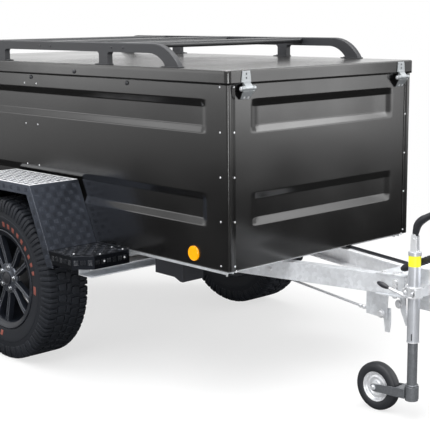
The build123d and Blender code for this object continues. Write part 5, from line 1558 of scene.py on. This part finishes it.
def makeFloor():
    # plain pale paper to the camera, which sees it fade to white; glossy rays see the near floor almost
    # black, a painted dark reflection in glossy surfaces low on the trailer, and white beyond it
    half = stage["half"]
    mesh = bpy.data.meshes.new("floor")
    mesh.from_pydata([(x, y, 0) for x, y in oblong(-half, -half, half, half)], [], [[0, 1, 2, 3]])
    floor = bpy.data.objects.new("floor", mesh)
    bpy.context.scene.collection.objects.link(floor)
    tree, shader = newMaterial("floorPaper", 0.9, Specular_IOR_Level=0.1)
    path = tree.nodes.new("ShaderNodeLightPath")
    tone, mirroredShade = stage["floorTone"], stage["mirroredFloorShade"]
    colour = mixColour(tree, path.outputs["Is Glossy Ray"], (tone,) * 3, (mirroredShade,) * 3)
    feed(tree, colour, shader.inputs["Base Color"])
    white = tree.nodes.new("ShaderNodeEmission")
    white.inputs["Strength"].default_value = 1.0
    length = tree.nodes.new("ShaderNodeVectorMath")
    length.operation = "LENGTH"
    feed(tree, objectPlace(tree), length.inputs[0])
    away = length.outputs["Value"]
    seen = mapRange(tree, away, stage["whiteStart"], stage["whiteEnd"], stage["whiteNear"], 1.0)
    seen = mathNode(tree, "MULTIPLY", seen, path.outputs["Is Camera Ray"])
    mirrored = mapRange(tree, away, stage["mirrorStart"], stage["mirrorEnd"], 0.0, 1.0)
    rays = mathNode(tree, "MAXIMUM", path.outputs["Is Glossy Ray"], path.outputs["Is Transmission Ray"])
    mirrored = mathNode(tree, "MULTIPLY", mirrored, rays)
    mix = tree.nodes.new("ShaderNodeMixShader")
    feed(tree, mathNode(tree, "MAXIMUM", seen, mirrored), mix.inputs["Fac"])
    feed(tree, shader.outputs[0], mix.inputs[1])
    feed(tree, white.outputs[0], mix.inputs[2])
    feed(tree, mix.outputs[0], tree.nodes["Material Output"].inputs["Surface"])
    mesh.materials.append(finish["floorPaper"])


def makeSky():
    # white where the camera and mirrored or transmitted rays look, and dimmer as a light on surfaces
    world = bpy.data.worlds.new("studio")
    bpy.context.scene.world = world
    world.use_nodes = True
    tree = world.node_tree
    shader = tree.nodes["Background"]
    shader.inputs["Color"].default_value = (1, 1, 1, 1)
    path = tree.nodes.new("ShaderNodeLightPath")
    seen = mathNode(tree, "MAXIMUM", path.outputs["Is Camera Ray"], path.outputs["Is Glossy Ray"])
    seen = mathNode(tree, "MAXIMUM", seen, path.outputs["Is Transmission Ray"])
    strength = mapRange(tree, seen, 0.0, 1.0, stage["skyForSurfaces"], 1.0)
    feed(tree, strength, shader.inputs["Strength"])


lamps = (
    # name, place, aim, width, height, power
    ("top", (0.2, -0.3, 4.6), (-0.1, 0.0, 0.5), 5.0, 4.0, 320),
    ("key", (2.6, -4.4, 5.2), (0.0, 0.0, 0.6), 3.0, 3.0, 210),
    ("frontCard", (5.4, 4.0, 2.25), (0.7, 0.0, 1.6), 3.2, 3.6, 108),
    ("frontFlank", (3.55, 4.1, 3.95), (0.7, 0.0, 1.2), 2.4, 1.6, 72),
    ("sideFlank", (-4.3, -3.6, 4.0), (-0.2, -0.6, 1.2), 4.4, 1.6, 50),
    ("sideCard", (-4.8, -5.1, 1.65), (-0.6, -0.5, 1.0), 3.4, 1.5, 37),
    ("fill", (4.6, -3.4, 0.8), (1.0, -0.1, 0.5), 1.6, 1.0, 75),
)


def makeLamps():
    # area lights, each turned from its place towards its aim
    for name, place, aim, width, height, power in lamps:
        data = bpy.data.lights.new(name, "AREA")
        data.shape = "RECTANGLE"
        data.size = width
        data.size_y = height
        data.energy = power
        lamp = bpy.data.objects.new(name, data)
        bpy.context.scene.collection.objects.link(lamp)
        direction = Vector(aim) - Vector(place)
        turn = direction.to_track_quat("-Z", "Y").to_matrix().to_4x4()
        lamp.matrix_world = Matrix.Translation(place) @ turn


def makeCamera():
    # the photo's view: the direction back to the camera from two angles, then a roll about it
    azimuth, elevation, roll = (math.radians(view[k]) for k in ("azimuth", "elevation", "roll"))
    level = math.cos(elevation)
    back = Vector((math.sin(azimuth) * level, -math.cos(azimuth) * level, math.sin(elevation)))
    right = (-back).cross(Vector((0, 0, 1))).normalized()
    up = right.cross(-back)
    x = math.cos(roll) * right + math.sin(roll) * up
    y = -math.sin(roll) * right + math.cos(roll) * up
    data = bpy.data.cameras.new("camera")
    data.lens = view["lens"]
    data.sensor_width = 36
    data.clip_end = 200
    camera = bpy.data.objects.new("camera", data)
    bpy.context.scene.collection.objects.link(camera)
    camera.matrix_world = Matrix.Translation(view["place"]) @ Matrix((x, y, back)).transposed().to_4x4()
    bpy.context.scene.camera = camera


makeFloor()
makeSky()
makeLamps()
makeCamera()
bpy.context.scene.view_settings.view_transform = "Standard"
print("stage set")
